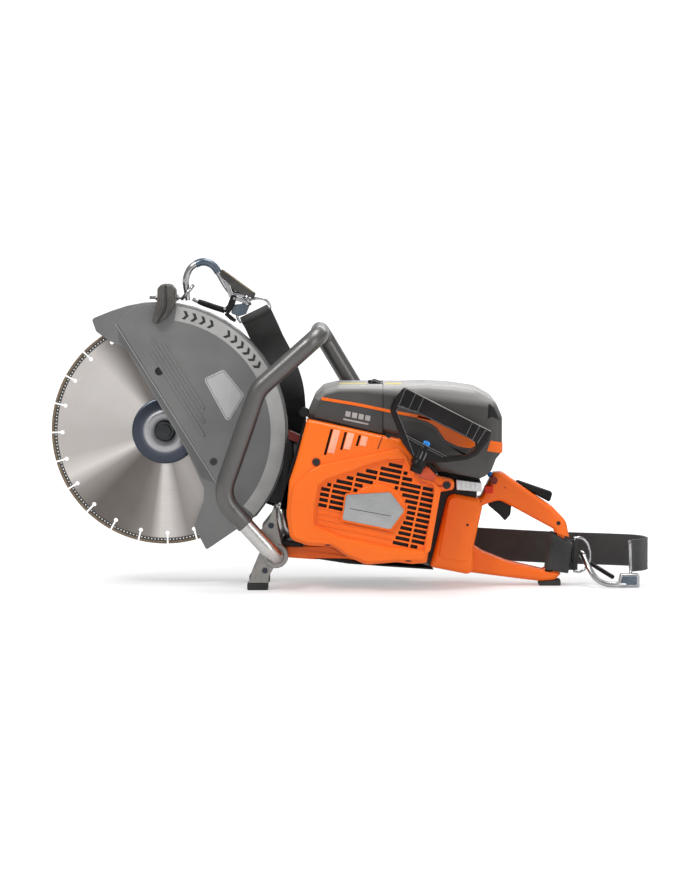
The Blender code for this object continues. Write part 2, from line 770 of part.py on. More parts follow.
STARTER_OUTLINE = [
    (-0.0672, 0.2635, 0.004), (-0.0840, 0.2000, 0.02), (-0.0945, 0.1690, 0.03), (-0.0990, 0.1180, 0.03),
    (-0.0930, 0.0800, 0.014), (-0.0660, 0.0710, 0.02), (-0.0290, 0.0690, 0.015), (-0.0070, 0.0545, 0.02),
    (0.0220, 0.0415, 0.02), (0.0680, 0.0455, 0.03), (0.0920, 0.0428, 0.02), (0.1140, 0.0445, 0.004),
    (0.1320, 0.1520, 0.006), (0.1550, 0.1560, 0.006), (0.1560, 0.1700, 0.006), (0.1310, 0.1755, 0.006),
    (0.1150, 0.1890, 0.010), (0.0740, 0.2322, 0.006),
]
LOUVRE_PITCH = 0.0082
LOUVRE_HEIGHT = 0.0056
LOUVRE_COLUMNS = [
    (-0.088, -0.066), (-0.063, -0.041), (-0.038, -0.010), (-0.007, 0.025), (0.028, 0.053),
    (0.057, 0.079),
]


def louvre_open(u, v):
    """Whether a louvre at (u, v), in the engine's leaning axes, is cut through the starter cover."""
    clear_of_boss = sqrt(u * u + v * v) > 0.050
    in_field = -0.084 < u < 0.075 and -0.060 < v < 0.070 + 0.20 * min(u, 0.0)
    below_pull_recess = v < 0.075 - 0.9 * max(0.0, u - 0.030)
    blind_corner = u < 0.025 and v < -0.006
    return clear_of_boss and in_field and below_pull_recess and not blind_corner


def make_starter_cover():
    cover = slab(
        "starter_cover", STARTER_OUTLINE, STARTER_NEAR_Y, STARTER_FAR_Y, ORANGE, edge=0.006, far_edge=0
    )
    hollow = slab("starter_hollow", section_of(STARTER_OUTLINE, 0.0035), STARTER_NEAR_Y + 0.0035, -0.05)
    boxes = []
    for row in range(-7, 9):
        v = row * LOUVRE_PITCH
        for low, high in LOUVRE_COLUMNS:
            if louvre_open((low + high) / 2, v):
                boxes.append((low, high, v - LOUVRE_HEIGHT / 2, v + LOUVRE_HEIGHT / 2, -0.12, -0.095))
    louvres = many_blocks("louvres", boxes, ENGINE_TILT, CRANK)
    slots = [
        (-0.0400, -0.0350, 0.2080, 0.2470, -0.12, -0.095),
        (-0.0150, -0.0105, 0.2150, 0.2430, -0.12, -0.095),
        (0.0075, 0.0115, 0.2220, 0.2380, -0.12, -0.095),
    ]
    post = turned(
        "reel_post", [(0, -0.103), (0.0075, -0.103), (0.0075, -0.0805), (0, -0.0805)], (
            CRANK[0], 0, CRANK[1],
        )
    )
    screw_holes = [
        rod("screw_hole", (x, -0.12, z), (x, -0.09, z), 0.0034, sides=8) for x, z in STARTER_SCREWS
    ]
    join(cut(cover, hollow), post)
    return cut(cover, louvres, many_blocks("front_slots", slots), *screw_holes)


STARTER_SCREWS = [(-0.0534, 0.1985), (-0.0356, 0.0770), (0.0863, 0.0530), (0.1440, 0.1635)]


def make_cover_screws():
    for number, (x, z) in enumerate(STARTER_SCREWS, start=1):
        profile = [
            (0, -0.1042), (0.0028, -0.1042), (0.0028, -0.1068), (0.0058, -0.1068), (0.0058, -0.1053),
            (0.0030, -0.1053), (0.0030, -0.094), (0, -0.094),
        ]
        turned(f"cover_screw_{number}", profile, (x, 0, z), DARK_STEEL, sides=8)


def make_name_plate():
    outline = [
            (-0.0080, 0.1490, 0.004), (0.0585, 0.1530, 0.004), (0.0800, 0.1249, 0.004),
            (0.0592, 0.0965, 0.004),
            (-0.0139, 0.1110, 0.004),
        ]
    slab("name_plate", outline, -0.1068, STARTER_NEAR_Y - GAP, ALUMINIUM)


def make_engine():
    outline = [
            (-0.0600, 0.1850, 0.01), (-0.0600, 0.1100, 0.01), (-0.0640, 0.0830, 0.01),
            (-0.0300, 0.0760, 0.01),
            (0.0100, 0.0560, 0.01), (0.0400, 0.0500, 0.02), (0.1080, 0.0520, 0.008), (0.1230, 0.1420, 0.01),
            (0.1150, 0.1560, 0.01),
        ]
    crankcase = slab("crankcase", outline, -0.0545, ARM_NEAR_Y - 0.0005, CAST_IRON)
    x, z = CRANK
    chamber = rod("crank_chamber", (x, -0.022, z), (x, 0.016, z), 0.0435)
    main_bore = rod("main_bore", (x, -0.08, z), (x, 0.06, z), 0.0085)
    mouth = rod("cylinder_mouth", engine_point(0, 0), engine_point(0, 0.09), 0.0290)
    cut(crankcase, chamber, main_bore, mouth)

    base = 0.0535
    cylinder = rod("cylinder", engine_point(0, base), engine_point(0, base + 0.100), 0.0330, CAST_IRON)
    for number in range(8):
        up = base + 0.012 + 0.0115 * number
        fin = block("cylinder_fin", (-0.045, -0.046, -0.0015), (0.045, 0.033, 0.0015))
        fin.rotation_euler = (0, ENGINE_TILT, 0)
        fin.location = engine_point(0, up)
        join(cylinder, fin)
    bore = rod("cylinder_bore", engine_point(0, 0.04), engine_point(0, base + 0.088), 0.0280)
    plug_hole = rod(
        "plug_hole", engine_point(-0.012, base + 0.07), engine_point(-0.012, 0.2), 0.0045, sides=12,
    )
    cut(cylinder, bore, plug_hole)

    axis = Vector((sin(ENGINE_TILT), 0, cos(ENGINE_TILT)))
    plug = turned(
        "spark_plug",
        [
            (0, -0.010), (0.0040, -0.010), (0.0040, 0.0150), (0.0085, 0.0150), (0.0085, 0.0215),
            (0.0048, 0.0215), (0.0048, 0.0330), (0, 0.0330),
        ],
        engine_point(-0.012, base + 0.0865), STEEL, sides=12, axis=axis,
    )
    piston = turned(
        "piston",
        [(0, 0.058), (0.0272, 0.058), (0.0272, 0.020), (0.0235, 0.020), (0.0235, 0.050), (0, 0.050)],
        engine_point(0, 0.050), ALUMINIUM, axis=axis,
    )
    slide = body("piston_axis", *engine_point(0, 0.080))
    attach(slide, piston)
    return plug


def make_crank():
    x, z = CRANK
    spin = body("crank_axis", x, 0, z)
    at = (x, 0, z)
    shaft = turned(
        "crankshaft",
        [
            (0, -0.0775), (0.0080, -0.0775), (0.0080, -0.0205), (0.0405, -0.0205), (0.0405, -0.0110),
            (0.0120, -0.0110), (0.0120, 0.0050), (0.0405, 0.0050), (0.0405, 0.0145), (0.0080, 0.0145),
            (0.0080, 0.0955), (0, 0.0955),
        ],
        at, STEEL, sides=16,
    )
    flywheel = turned(
        "flywheel",
        [
            (0.0083, -0.0785), (0.028, -0.0785), (0.030, -0.0720), (0.062, -0.0700), (0.062, -0.0600),
            (0.0083, -0.0600),
        ],
        at, ALUMINIUM, sides=20,
    )
    clutch = turned(
        "clutch_hub", [(0.0083, 0.0770), (0.0315, 0.0770), (0.0315, 0.0890), (0.0083, 0.0890)], at, STEEL
    )
    attach(spin, shaft, flywheel, clutch)

    drum_axis = body("drum_axis", x, 0.07, z)
    low, high = BELT_Y
    rim = DRIVE_PULLEY_RADIUS + 0.003
    drum = turned(
        "clutch_drum",
        [
            (0.0083, low - 0.0025), (rim, low - 0.0025), (rim, low - GAP), (DRIVE_PULLEY_RADIUS, low - GAP),
            (DRIVE_PULLEY_RADIUS, high + GAP), (0.0350, high + GAP), (0.0350, 0.0900), (0.0325, 0.0900),
            (0.0325, 0.0745), (0.0083, 0.0745),
        ],
        at, STEEL, sides=20,
    )
    attach(drum_axis, drum)


def make_covers():
    front = [
            (-0.0685, 0.2645, 0.002), (-0.0560, 0.2945, 0.008), (-0.0430, 0.3075, 0.012),
            (-0.0200, 0.3128, 0.02), (0.0475, 0.3128, 0), (0.0475, 0.2395, 0),
        ]
    cylinder_cover = slab(
        "cylinder_cover", front, -COVER_HALF_WIDTH, COVER_HALF_WIDTH, DARK_GREY, edge=0.011,
    )
    hollow = slab(
        "cylinder_cover_hollow",
        [(-0.0650, 0.2200), (-0.0650, 0.2650), (-0.0530, 0.2920), (-0.0410, 0.3045), (-0.0190, 0.3096),
         (0.0750, 0.3096), (0.0750, 0.2200)],
        -COVER_HALF_WIDTH + COVER_WALL, COVER_HALF_WIDTH - COVER_WALL, edge=0.010,
    )
    valve_hole = rod("valve_hole", (0.0305, 0, 0.30), (0.0305, 0, 0.33), 0.0062, sides=16)
    cut(cylinder_cover, hollow, valve_hole)

    rear = [
            (0.0480, 0.2393, 0), (0.0480, 0.3128, 0), (0.0800, 0.3125, 0.01), (0.1140, 0.3140, 0.01),
            (0.1500, 0.3115, 0.03), (0.1900, 0.3060, 0.03), (0.2180, 0.2900, 0.02), (0.2290, 0.2650, 0.02),
            (0.2290, 0.2120, 0.004), (0.2200, 0.2010, 0.006), (0.2130, 0.1830, 0.01),
            (0.1960, 0.1680, 0.004),
            (0.1310, 0.1800, 0.004), (0.1200, 0.1925, 0.008), (0.0745, 0.2335, 0.004),
        ]
    filter_cover = slab("filter_cover", rear, -COVER_HALF_WIDTH, COVER_HALF_WIDTH, DARK_GREY, edge=0.013)
    cavity = slab(
        "filter_cover_hollow",
        [(0.0200, 0.2000), (0.0200, 0.3096), (0.1140, 0.3096), (0.1480, 0.3075), (0.1880, 0.3020), (
            0.2150, 0.2860,
        ),
         (0.2250, 0.2640), (0.2250, 0.2150), (0.2150, 0.2040), (0.2080, 0.1860), (0.1980, 0.1500),
         (0.1330, 0.1500),
         (0.1240, 0.1950), (0.0780, 0.2200)],
        -COVER_HALF_WIDTH + COVER_WALL, COVER_HALF_WIDTH - COVER_WALL, edge=0.012,
    )
    cut(filter_cover, cavity)
    block("air_filter", (0.1250, -0.0600, 0.2250), (0.2150, 0.0600, 0.2850), FOAM)
    block("carburettor", (0.1250, -0.0300, 0.1950), (0.1750, 0.0250, 0.2230), ALUMINIUM)
    valve = turned(
        "decompression_valve",
        [(0, 0.0052), (0.0045, 0.0052), (0.0055, 0.0042), (0.0055, -0.0120), (0, -0.0120)],
        (0.0305, 0, 0.3120), BLACK, sides=16, axis=(0, 0, 1),
    )
    attach(body("valve_axis", 0.0305, 0, 0.3120), valve)


def make_engine_front():
    """The muffler, the bracket under the air filter and the lower arm to the front feet."""
    muffler_outline = [
            (-0.0925, 0.1400, 0.008), (-0.0925, 0.2250, 0.008), (-0.0635, 0.2330, 0.008),
            (-0.0635, 0.1280, 0.008),
        ]
    slab("muffler", muffler_outline, -0.0540, 0.0300, CAST_IRON, edge=0.004)
    bracket_outline = [(0.1600, 0.1520), (0.1590, 0.1665), (0.1975, 0.1660), (0.1985, 0.1500)]
    slab("intake_bracket", bracket_outline, -0.0550, 0.0300, ALUMINIUM)
    arm_outline = [
            (-0.1020, 0.0655, 0.004), (-0.0700, 0.0660, 0), (-0.0330, 0.0665, 0), (-0.0100, 0.0540, 0),
            (0.0250, 0.0470, 0.004), (0.0250, 0.0430, 0.003), (-0.0600, 0.0440, 0.01),
            (-0.1020, 0.0470, 0.004),
        ]
    slab("chassis_arm", arm_outline, -0.0450, 0.0280, ORANGE, edge=0.003)


# --- Cutting arm --------------------------------------------------------------------------------------


def make_cutting_arm():
    x, z = SPINDLE
    arm = slab("cutting_arm", belt_line(SPINDLE, 0.050, CRANK, 0.056), ARM_NEAR_Y, ARM_FAR_Y, CAST_GREY)
    neck = rod("bearing_neck", (x, 0.0120, z), (x, ARM_NEAR_Y + 0.003, z), NECK_RADIUS, sides=24)
    ear = block("handle_ear", (0.0300, ARM_NEAR_Y, 0.1500), (0.0620, ARM_FAR_Y, 0.2220))
    seat = rod("bearing_seat", (x, 0.0, z), (x, 0.030, z), 0.0180)
    through = rod("spindle_way", (x, 0.0, z), (x, 0.06, z), 0.0100)
    crank_way = rod("crank_way", (CRANK[0], 0.0, CRANK[1]), (CRANK[0], 0.06, CRANK[1]), 0.0100)
    join(arm, neck, ear)
    cut(arm, seat, through, crank_way)
    turned(
        "spindle_bearing",
        [
            (SPINDLE_RADIUS + GAP, 0.0145), (0.0177, 0.0145), (0.0177, 0.0295),
            (SPINDLE_RADIUS + GAP, 0.0295),
        ],
        (x, 0, z), STEEL,
    )
    shell = slab(
        "belt_guard", belt_line(SPINDLE, 0.0560, CRANK, 0.0620), ARM_FAR_Y + 0.0003, BELT_GUARD_FAR_Y, BLACK,
        edge=0, far_edge=0.008,
    )
    hollow = slab(
        "belt_guard_hollow", belt_line(SPINDLE, 0.0525, CRANK, 0.0585), 0.03, BELT_GUARD_FAR_Y - 0.0035,
    )
    ear_room = block("handle_ear_room", (0.0290, 0.04, 0.1790), (0.0630, 0.0600, 0.2300))
    cut(shell, hollow, ear_room)

    slack = 0.0005
    driven = DRIVEN_PULLEY_RADIUS + slack
    drive = DRIVE_PULLEY_RADIUS + slack
    low, high = BELT_Y
    outer = belt_line(SPINDLE, driven + BELT_THICKNESS, CRANK, drive + BELT_THICKNESS, steps=16)
    belt = slab("drive_belt", outer, low, high, RUBBER)
    inside = slab(
        "belt_inside", belt_line(SPINDLE, driven, CRANK, drive, steps=16), low - 0.01, high + 0.01,
    )
    cut(belt, inside)


# --- Front handle and feet ----------------------------------------------------------------------------

LOWER_BAR = (-0.1156, 0.0528)  # x, z of the handle's lower crossbar


def handle_line():
    near = HANDLE_NEAR_Y
    far = HANDLE_FAR_Y
    return [
        (LOWER_BAR[0], 0.0640, LOWER_BAR[1], 0),
        (LOWER_BAR[0], near, LOWER_BAR[1], 0.022),
        (-0.1985, near, 0.1440, 0.045),
        (-0.1410, near, 0.3080, 0.045),
        (-0.0494, near, 0.3895, 0.026),
        (-0.0494, far, 0.3895, 0.026),
        (0.0400, far, 0.2400, 0.030),
        (0.0460, far, 0.2050, 0.014),
        (0.0460, 0.0550, 0.2050, 0),
    ]


def make_front_handle():
    points = handle_line()
    tube("handle_tube", bent(points), HANDLE_TUBE_RADIUS, STEEL)
    start = Vector((-0.1578, HANDLE_NEAR_Y, 0.0992))
    low = Vector((-0.1985, HANDLE_NEAR_Y, 0.1440))
    grip_points = [
        (*(low + (start - low) * 0.95), 0),
        points[2],
        points[3],
        (-0.0760, HANDLE_NEAR_Y, 0.3658, 0),
    ]
    tube("handle_grip", bent(grip_points), HANDLE_GRIP_RADIUS, GRIP, bore=HANDLE_TUBE_RADIUS + 2 * SHORT)
    damper_z = 0.2050
    rod(
        "handle_damper", (0.0460, ARM_FAR_Y + GAP, damper_z), (0.0460, 0.0542, damper_z), 0.0150, RUBBER,
        sides=20,
    )


def leg_outline(top):
    x, z = LOWER_BAR
    lobe = arc((x, z), 0.0195, 60, -100, 8)
    return lobe + [
        (-0.1260, 0.0212), (-0.1272, FOOT_PAD_HEIGHT + GAP), (-0.1575, FOOT_PAD_HEIGHT + GAP),
        (-0.1551, 0.0170), (-0.1458, 0.0398), (-0.1392, 0.0539), (-0.1390, 0.0900), (-0.1260, 0.1064),
        (-0.1195, top), (-0.1150, top), (-0.1120, 0.0950),
    ]


def make_front_feet():
    near_leg = slab("foot_bracket", leg_outline(0.1250), -0.0740, -0.0460, STEEL)
    far_leg = slab("foot_bracket_far_leg", leg_outline(0.1120), 0.0300, 0.0600)
    bridge = block("foot_bracket_bridge", (-0.1350, -0.0480, 0.0720), (-0.1150, 0.0320, 0.0760))
    bar_hole = rod(
        "lower_bar_hole", (LOWER_BAR[0], -0.10, LOWER_BAR[1]), (LOWER_BAR[0], 0.08, LOWER_BAR[1]),
        HANDLE_TUBE_RADIUS + SHORT,
    )
    join(near_leg, far_leg, bridge)
    cut(near_leg, bar_hole)
    pad = [
        (-0.1592, 0.0, 0.002), (-0.1272, 0.0, 0.002), (-0.1272, FOOT_PAD_HEIGHT, 0),
        (-0.1592, FOOT_PAD_HEIGHT, 0),
    ]
    slab("foot_pad_near", pad, -0.0760, -0.0440, RUBBER)
    slab("foot_pad_far", pad, 0.0280, 0.0620, RUBBER)


# --- Rear unit: tank and handle -----------------------------------------------------------------------

TRIGGER_PIVOT = (0.2200, 0.1400)
LOCKOUT_PIVOT = (0.2580, 0.1580)


def post_outline(low, high, spare=0.0):
    """The core of the handle's rear post, which leans back as it rises, between two heights."""
    lean = 0.149
    foot = 0.3080 + lean * (low - 0.018) - spare
    head = 0.3080 + lean * (high - 0.018) - spare
    depth = 0.0120 + 2 * spare
    return [(foot, low), (foot + depth, low), (head + depth, high), (head, high)]



def make_rear_unit():
    tank_outline = [
            (0.1200, 0.0335, 0.004), (0.1480, 0.1480, 0.012), (0.1950, 0.1385, 0.006),
            (0.2000, 0.1250, 0.006),
            (0.1870, 0.0650, 0.008), (0.1860, 0.0205, 0.01),
        ]
    unit = slab("rear_unit", tank_outline, -TANK_HALF_WIDTH - 0.002, TANK_HALF_WIDTH, ORANGE, edge=0.007)
    handle_outline = [
            (0.1600, 0.1280, 0), (0.1990, 0.1380, 0.004), (0.2175, 0.1750, 0.004), (0.2320, 0.1757, 0.010),
            (0.3100, 0.1215, 0.020), (0.3310, 0.1000, 0.020), (0.3365, 0.0720, 0.010),
            (0.3265, 0.0220, 0.010),
            (0.3140, 0.0088, 0.010), (0.2930, 0.0068, 0.010), (0.2670, 0.0098, 0.02),
            (0.1830, 0.0205, 0.02),
            (0.1500, 0.0300, 0),
        ]
    handle = slab(
        "rear_handle", handle_outline, -REAR_HANDLE_HALF_WIDTH, REAR_HANDLE_HALF_WIDTH, edge=0.007,
    )
    opening = slab(
        "rear_handle_opening",
        [
                (0.1800, 0.0680, 0.004), (0.1800, 0.1120, 0.004), (0.2070, 0.1262, 0.014),
                (0.2274, 0.1327, 0.014),
                (0.2480, 0.1223, 0.020), (0.3135, 0.0868, 0.006), (0.3035, 0.0300, 0.006),
                (0.2950, 0.0248, 0.004),
                (0.2390, 0.0380, 0.03), (0.2016, 0.0530, 0.010),
            ],
        -0.03, 0.03,
    )
    strap_slot = slab(
        "strap_slot", [(0.2980, 0.0225), (0.3450, 0.0145), (0.3520, 0.0700), (0.3040, 0.0865)], -0.03, 0.03
    )
    core = slab("post_core", post_outline(0.018, 0.085), -0.0140, 0.0140)
    trigger_slot = slab(
        "trigger_slot", [
            (0.2080, 0.1100), (0.2080, 0.1480), (0.2400, 0.1520), (0.2620, 0.1400), (0.2620, 0.1050),
        ],
        -0.0100, 0.0100,
    )
    lockout_slot = slab(
        "lockout_slot", [(0.2500, 0.1720), (0.3250, 0.1250), (0.3130, 0.1120), (0.2520, 0.1530)],
        -0.0090, 0.0090,
    )
    filler_hole = rod("filler_hole", (0.1600, 0.0400, 0.1000), (0.1600, 0.0700, 0.1000), 0.0125, sides=20)
    cut(handle, opening, strap_slot)
    join(handle, core)
    join(unit, handle)
    cut(unit, trigger_slot, lockout_slot, filler_hole)

    foot = [(0.2890, 0.0, 0.002), (0.3230, 0.0, 0.002), (0.3230, 0.0085, 0), (0.2890, 0.0085, 0)]
    rear_foot = slab("rear_foot", foot, -0.0170, 0.0170, RUBBER)
    room = slab("rear_foot_room", section_of(handle_outline, -0.0003), -0.03, 0.03)
    cut(rear_foot, room)


def make_controls():
    trigger_outline = [
            (0.2110, 0.1240, 0.002), (0.2140, 0.1445, 0.004), (0.2260, 0.1465, 0.004),
            (0.2480, 0.1340, 0.004),
            (0.2454, 0.1093, 0.01), (0.2369, 0.0998, 0.002), (0.2284, 0.1093, 0.012),
        ]
    trigger = slab("throttle_trigger", trigger_outline, -0.0090, 0.0090, BLACK, edge=0.002)
    attach(body("trigger_axis", TRIGGER_PIVOT[0], 0, TRIGGER_PIVOT[1]), trigger)
    lockout_outline = [
            (0.2535, 0.1580, 0.002), (0.2550, 0.1632, 0.002), (0.3108, 0.1440, 0.004),
            (0.3062, 0.1285, 0.003),
            (0.2900, 0.1370, 0.003), (0.2620, 0.1530, 0.003),
        ]
    lockout = slab("throttle_lockout", lockout_outline, -0.0080, 0.0080, BLACK, edge=0.002)
    attach(body("lockout_axis", LOCKOUT_PIVOT[0], 0, LOCKOUT_PIVOT[1]), lockout)

    side = -REAR_HANDLE_HALF_WIDTH - GAP
    switch_outline = [
        (0.2040, 0.1440, 0.002), (0.2180, 0.1440, 0.002), (0.2180, 0.1560, 0.002),
        (0.2040, 0.1560, 0.002),
    ]
    switch = slab("stop_switch", switch_outline, side - 0.0055, side, RED, edge=0.0015, far_edge=0)
    attach(body("switch_axis", 0.2110, side, 0.1500), switch)
    choke = turned(
        "choke_knob",
        [
            (0, side), (0.0035, side), (0.0035, side - 0.006), (0.0062, side - 0.007),
            (0.0062, side - 0.012), (0, side - 0.013),
        ],
        (0.2185, 0, 0.1645), RED, sides=16,
    )
    attach(body("choke_axis", 0.2185, side, 0.1645), choke)
    lean = Vector((-0.885, 0.0, 0.465)).normalized()
    turned(
        "purge_bulb", [(0, 0), (0.0045, 0), (0.0045, 0.003), (0.0030, 0.0055), (0, 0.0062)],
        Vector((0.2160, -0.0080, 0.1705)) + lean * 0.0008, BLUE, sides=12, axis=lean,
    )
    cap = turned(
        "fuel_cap",
        [(0, TANK_HALF_WIDTH - 0.010), (0.0120, TANK_HALF_WIDTH - 0.010), (0.0120, TANK_HALF_WIDTH + GAP),
         (0.0210, TANK_HALF_WIDTH + GAP), (0.0210, TANK_HALF_WIDTH + 0.0110),
         (0.0190, TANK_HALF_WIDTH + 0.0130),
         (0, TANK_HALF_WIDTH + 0.0130)],
        (0.1600, 0, 0.1000), BLACK,
    )
    attach(body("cap_axis", 0.1600, TANK_HALF_WIDTH, 0.1000), cap)


def make_anchor_strap():
    """The stitched strap round the rear post, whose sewn tail holds the ring that the sling clips to."""
    low, high = 0.0240, 0.0720
    outline = [
        (0.2985, low, 0.003), (0.3345, low - 0.005, 0), (0.3415, high - 0.006, 0),
        (0.3075, high + 0.012, 0.003),
    ]
    strap = slab("anchor_strap", outline, -0.0200, 0.0200, WEBBING, edge=0.006)
    hole = slab("anchor_strap_hole", post_outline(0.005, 0.100, SHORT), -0.0145, 0.0145)
    tail = block("anchor_tail", (0.3300, -0.0028, 0.0230), (0.3450, 0.0028, 0.0690))
    fold = rod("anchor_fold", (REAR_BAR.x, 0, 0.0230), (REAR_BAR.x, 0, 0.0690), 0.0050, sides=16)
    tunnel = rod("anchor_tunnel", (REAR_BAR.x, 0, 0.0100), (REAR_BAR.x, 0, 0.0800), 0.0030, sides=16)
    join(strap, tail, fold)
    cut(strap, hole, tunnel)
    d_ring("rear_ring", REAR_BAR, Vector((0, 0, 1)), Vector((1, 0, 0)), 0.0245)


# --- Starter ------------------------------------------------------------------------------------------

KNOT = Vector((0.1126, -0.1190, 0.2261))
BOSS_FOOT = Vector((0.0960, -0.1190, 0.1970))


def make_starter():
    x, z = CRANK
    reel = turned(
        "starter_reel",
        [
            (0.0082, -0.1000), (0.0380, -0.1000), (0.0380, -0.0980), (0.0220, -0.0980), (0.0220, -0.0840),
            (0.0380, -0.0840), (0.0380, -0.0820), (0.0082, -0.0820),
        ],
        (x, 0, z), BLACK, sides=20,
    )
    attach(body("reel_axis", x, -0.09, z), reel)

    outer = [
            (0.0800, 0.3135, 0.006), (0.2110, 0.2460, 0.006), (0.2070, 0.2330, 0.006),
            (0.1900, 0.2110, 0.014),
            (0.1744, 0.2035, 0.014), (0.1432, 0.1998, 0.02), (0.0985, 0.1985, 0.006),
            (0.0765, 0.2290, 0.01),
            (0.0575, 0.2790, 0.010), (0.0640, 0.2960, 0.010),
        ]
    handle = slab("pull_handle", outer, PULL_NEAR_Y, PULL_FAR_Y, BLACK, edge=0.004)
    opening = slab(
        "pull_opening",
        [
                (0.0665, 0.2790, 0.004), (0.0840, 0.2345, 0.006), (0.1420, 0.2080, 0.02),
                (0.1745, 0.2105, 0.010),
                (0.1870, 0.2200, 0.006), (0.1860, 0.2310, 0.004), (0.0740, 0.2870, 0.004),
            ],
        -0.15, -0.09,
    )
    boss = rod("pull_boss", BOSS_FOOT, KNOT, 0.0085, sides=16)
    axis = (KNOT - BOSS_FOOT).normalized()
    rope_way = rod("rope_way", BOSS_FOOT - axis * 0.03, KNOT + axis * 0.03, 0.0026, sides=12)
    cut(handle, opening)
    join(handle, boss)
    cut(handle, rope_way)
    rope = turned(
        "starter_rope",
        [(0, -0.0420), (0.0021, -0.0420), (0.0021, 0.0004), (0.0050, 0.0020), (0.0055, 0.0050), (
            0.0040, 0.0085,
        ),
         (0, 0.0095)],
        KNOT, BLUE, sides=12, axis=axis,
    )
    attach(body("pull_axis", *KNOT), handle, rope)


# --- The whole saw ------------------------------------------------------------------------------------

make_blade()
make_guard()
make_rear_hook()
make_sling()
make_engine()
make_crank()
make_starter_cover()
make_cover_screws()
make_name_plate()
make_covers()
make_engine_front()
make_cutting_arm()
make_front_handle()
make_front_feet()
make_rear_unit()
make_controls()
make_anchor_strap()
make_starter()
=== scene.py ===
"""The looks of the rescue saw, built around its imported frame. Lengths are in metres, except inside mm()."""

import json
from math import acos, atan2, cos, pi, radians, sin, tan

import bmesh
import bpy
from mathutils import Matrix, Vector


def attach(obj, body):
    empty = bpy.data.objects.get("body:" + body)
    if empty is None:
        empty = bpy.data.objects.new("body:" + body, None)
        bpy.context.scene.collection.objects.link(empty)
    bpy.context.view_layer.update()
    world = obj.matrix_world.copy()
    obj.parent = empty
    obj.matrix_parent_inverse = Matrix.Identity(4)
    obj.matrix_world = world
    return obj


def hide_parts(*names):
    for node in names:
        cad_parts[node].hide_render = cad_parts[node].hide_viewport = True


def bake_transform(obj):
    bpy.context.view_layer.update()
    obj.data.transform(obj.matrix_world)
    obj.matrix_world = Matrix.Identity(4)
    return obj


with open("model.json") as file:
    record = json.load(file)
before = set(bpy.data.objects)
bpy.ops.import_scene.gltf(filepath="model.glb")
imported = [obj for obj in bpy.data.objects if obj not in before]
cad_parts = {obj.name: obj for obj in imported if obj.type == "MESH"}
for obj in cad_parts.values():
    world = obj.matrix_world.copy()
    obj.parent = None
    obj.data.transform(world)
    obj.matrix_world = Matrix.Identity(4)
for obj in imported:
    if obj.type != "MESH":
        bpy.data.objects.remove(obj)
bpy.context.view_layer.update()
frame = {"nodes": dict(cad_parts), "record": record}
SCENE = bpy.context.scene
BODY_OF = {node: body for body, nodes in frame["record"]["behaviour"]["bodies"].items() for node in nodes}

# --- Materials ----------------------------------------------------------------------------------------


class Graph:
    """A material's node tree, with short ways to add a node and to link it."""

    def __init__(self, name, slot=None):
        self.material = bpy.data.materials.new(name)
        self.material.use_nodes = True
        self.nodes = self.material.node_tree.nodes
        self.links = self.material.node_tree.links
        self.shader = self.nodes["Principled BSDF"]
        self.place = self.nodes.new("ShaderNodeTexCoord").outputs["Object"]

    def feed(self, socket, value):
        """Links the value to the socket, or writes it there if it's a plain value."""
        if isinstance(value, bpy.types.NodeSocket):
            self.links.new(value, socket)
        else:
            socket.default_value = value

    def add(self, kind, inputs=(), **settings):
        node = self.nodes.new("ShaderNode" + kind)
        for key, value in settings.items():
            setattr(node, key, value)
        for key, value in dict(inputs).items():
            self.feed(node.inputs[key], value)
        return node

    def split(self, vector=None):
        return self.add("SeparateXYZ", {"Vector": vector or self.place}).outputs

    def noise(self, scale, detail=3.0, place=None, roughness=0.5):
        inputs = {"Vector": place or self.place, "Scale": scale, "Detail": detail, "Roughness": roughness}
        return self.add("TexNoise", inputs).outputs["Fac"]

    def ramp(self, value, stops):
        node = self.add("ValToRGB", {"Fac": value})
        elements = node.color_ramp.elements
        while len(elements) < len(stops):
            elements.new(0.5)
        for element, (position, colour) in zip(elements, stops):
            element.position = position
            element.color = (*colour, 1.0)
        return node.outputs["Color"]

    def span(self, value, low, high, start=0.3, end=0.7):
        inputs = {"Value": value, "From Min": start, "From Max": end, "To Min": low, "To Max": high}
        return self.add("MapRange", inputs).outputs["Result"]

    def math(self, operation, first, second=0.0):
        return self.add("Math", {0: first, 1: second}, operation=operation).outputs[0]

    def mix(self, share, first, second):
        return self.add("Mix", {0: share, 6: first, 7: second}, data_type="RGBA").outputs[2]

    def bump(self, height, depth, strength):
        return self.add(
            "Bump", {"Height": height, "Distance": depth, "Strength": strength},
        ).outputs["Normal"]

    def rings(self, radius, turns, across, around, detail):
        """Noise drawn out round an axis like a lathe's marks, by its scales across and around the rings."""
        place = {"X": self.math("MULTIPLY", radius, across), "Y": self.math("MULTIPLY", turns, around)}
        return self.noise(1.0, detail, self.add("CombineXYZ", place).outputs[0])

    def around_y(self):
        """The tangent that stretches highlights along rings about an axis along Y."""
        return self.add("Tangent", direction_type="RADIAL", axis="Y").outputs["Tangent"]

    def set(self, **values):
        for key, value in values.items():
            self.feed(self.shader.inputs[key.replace("_", " ")], value)
        return self.material


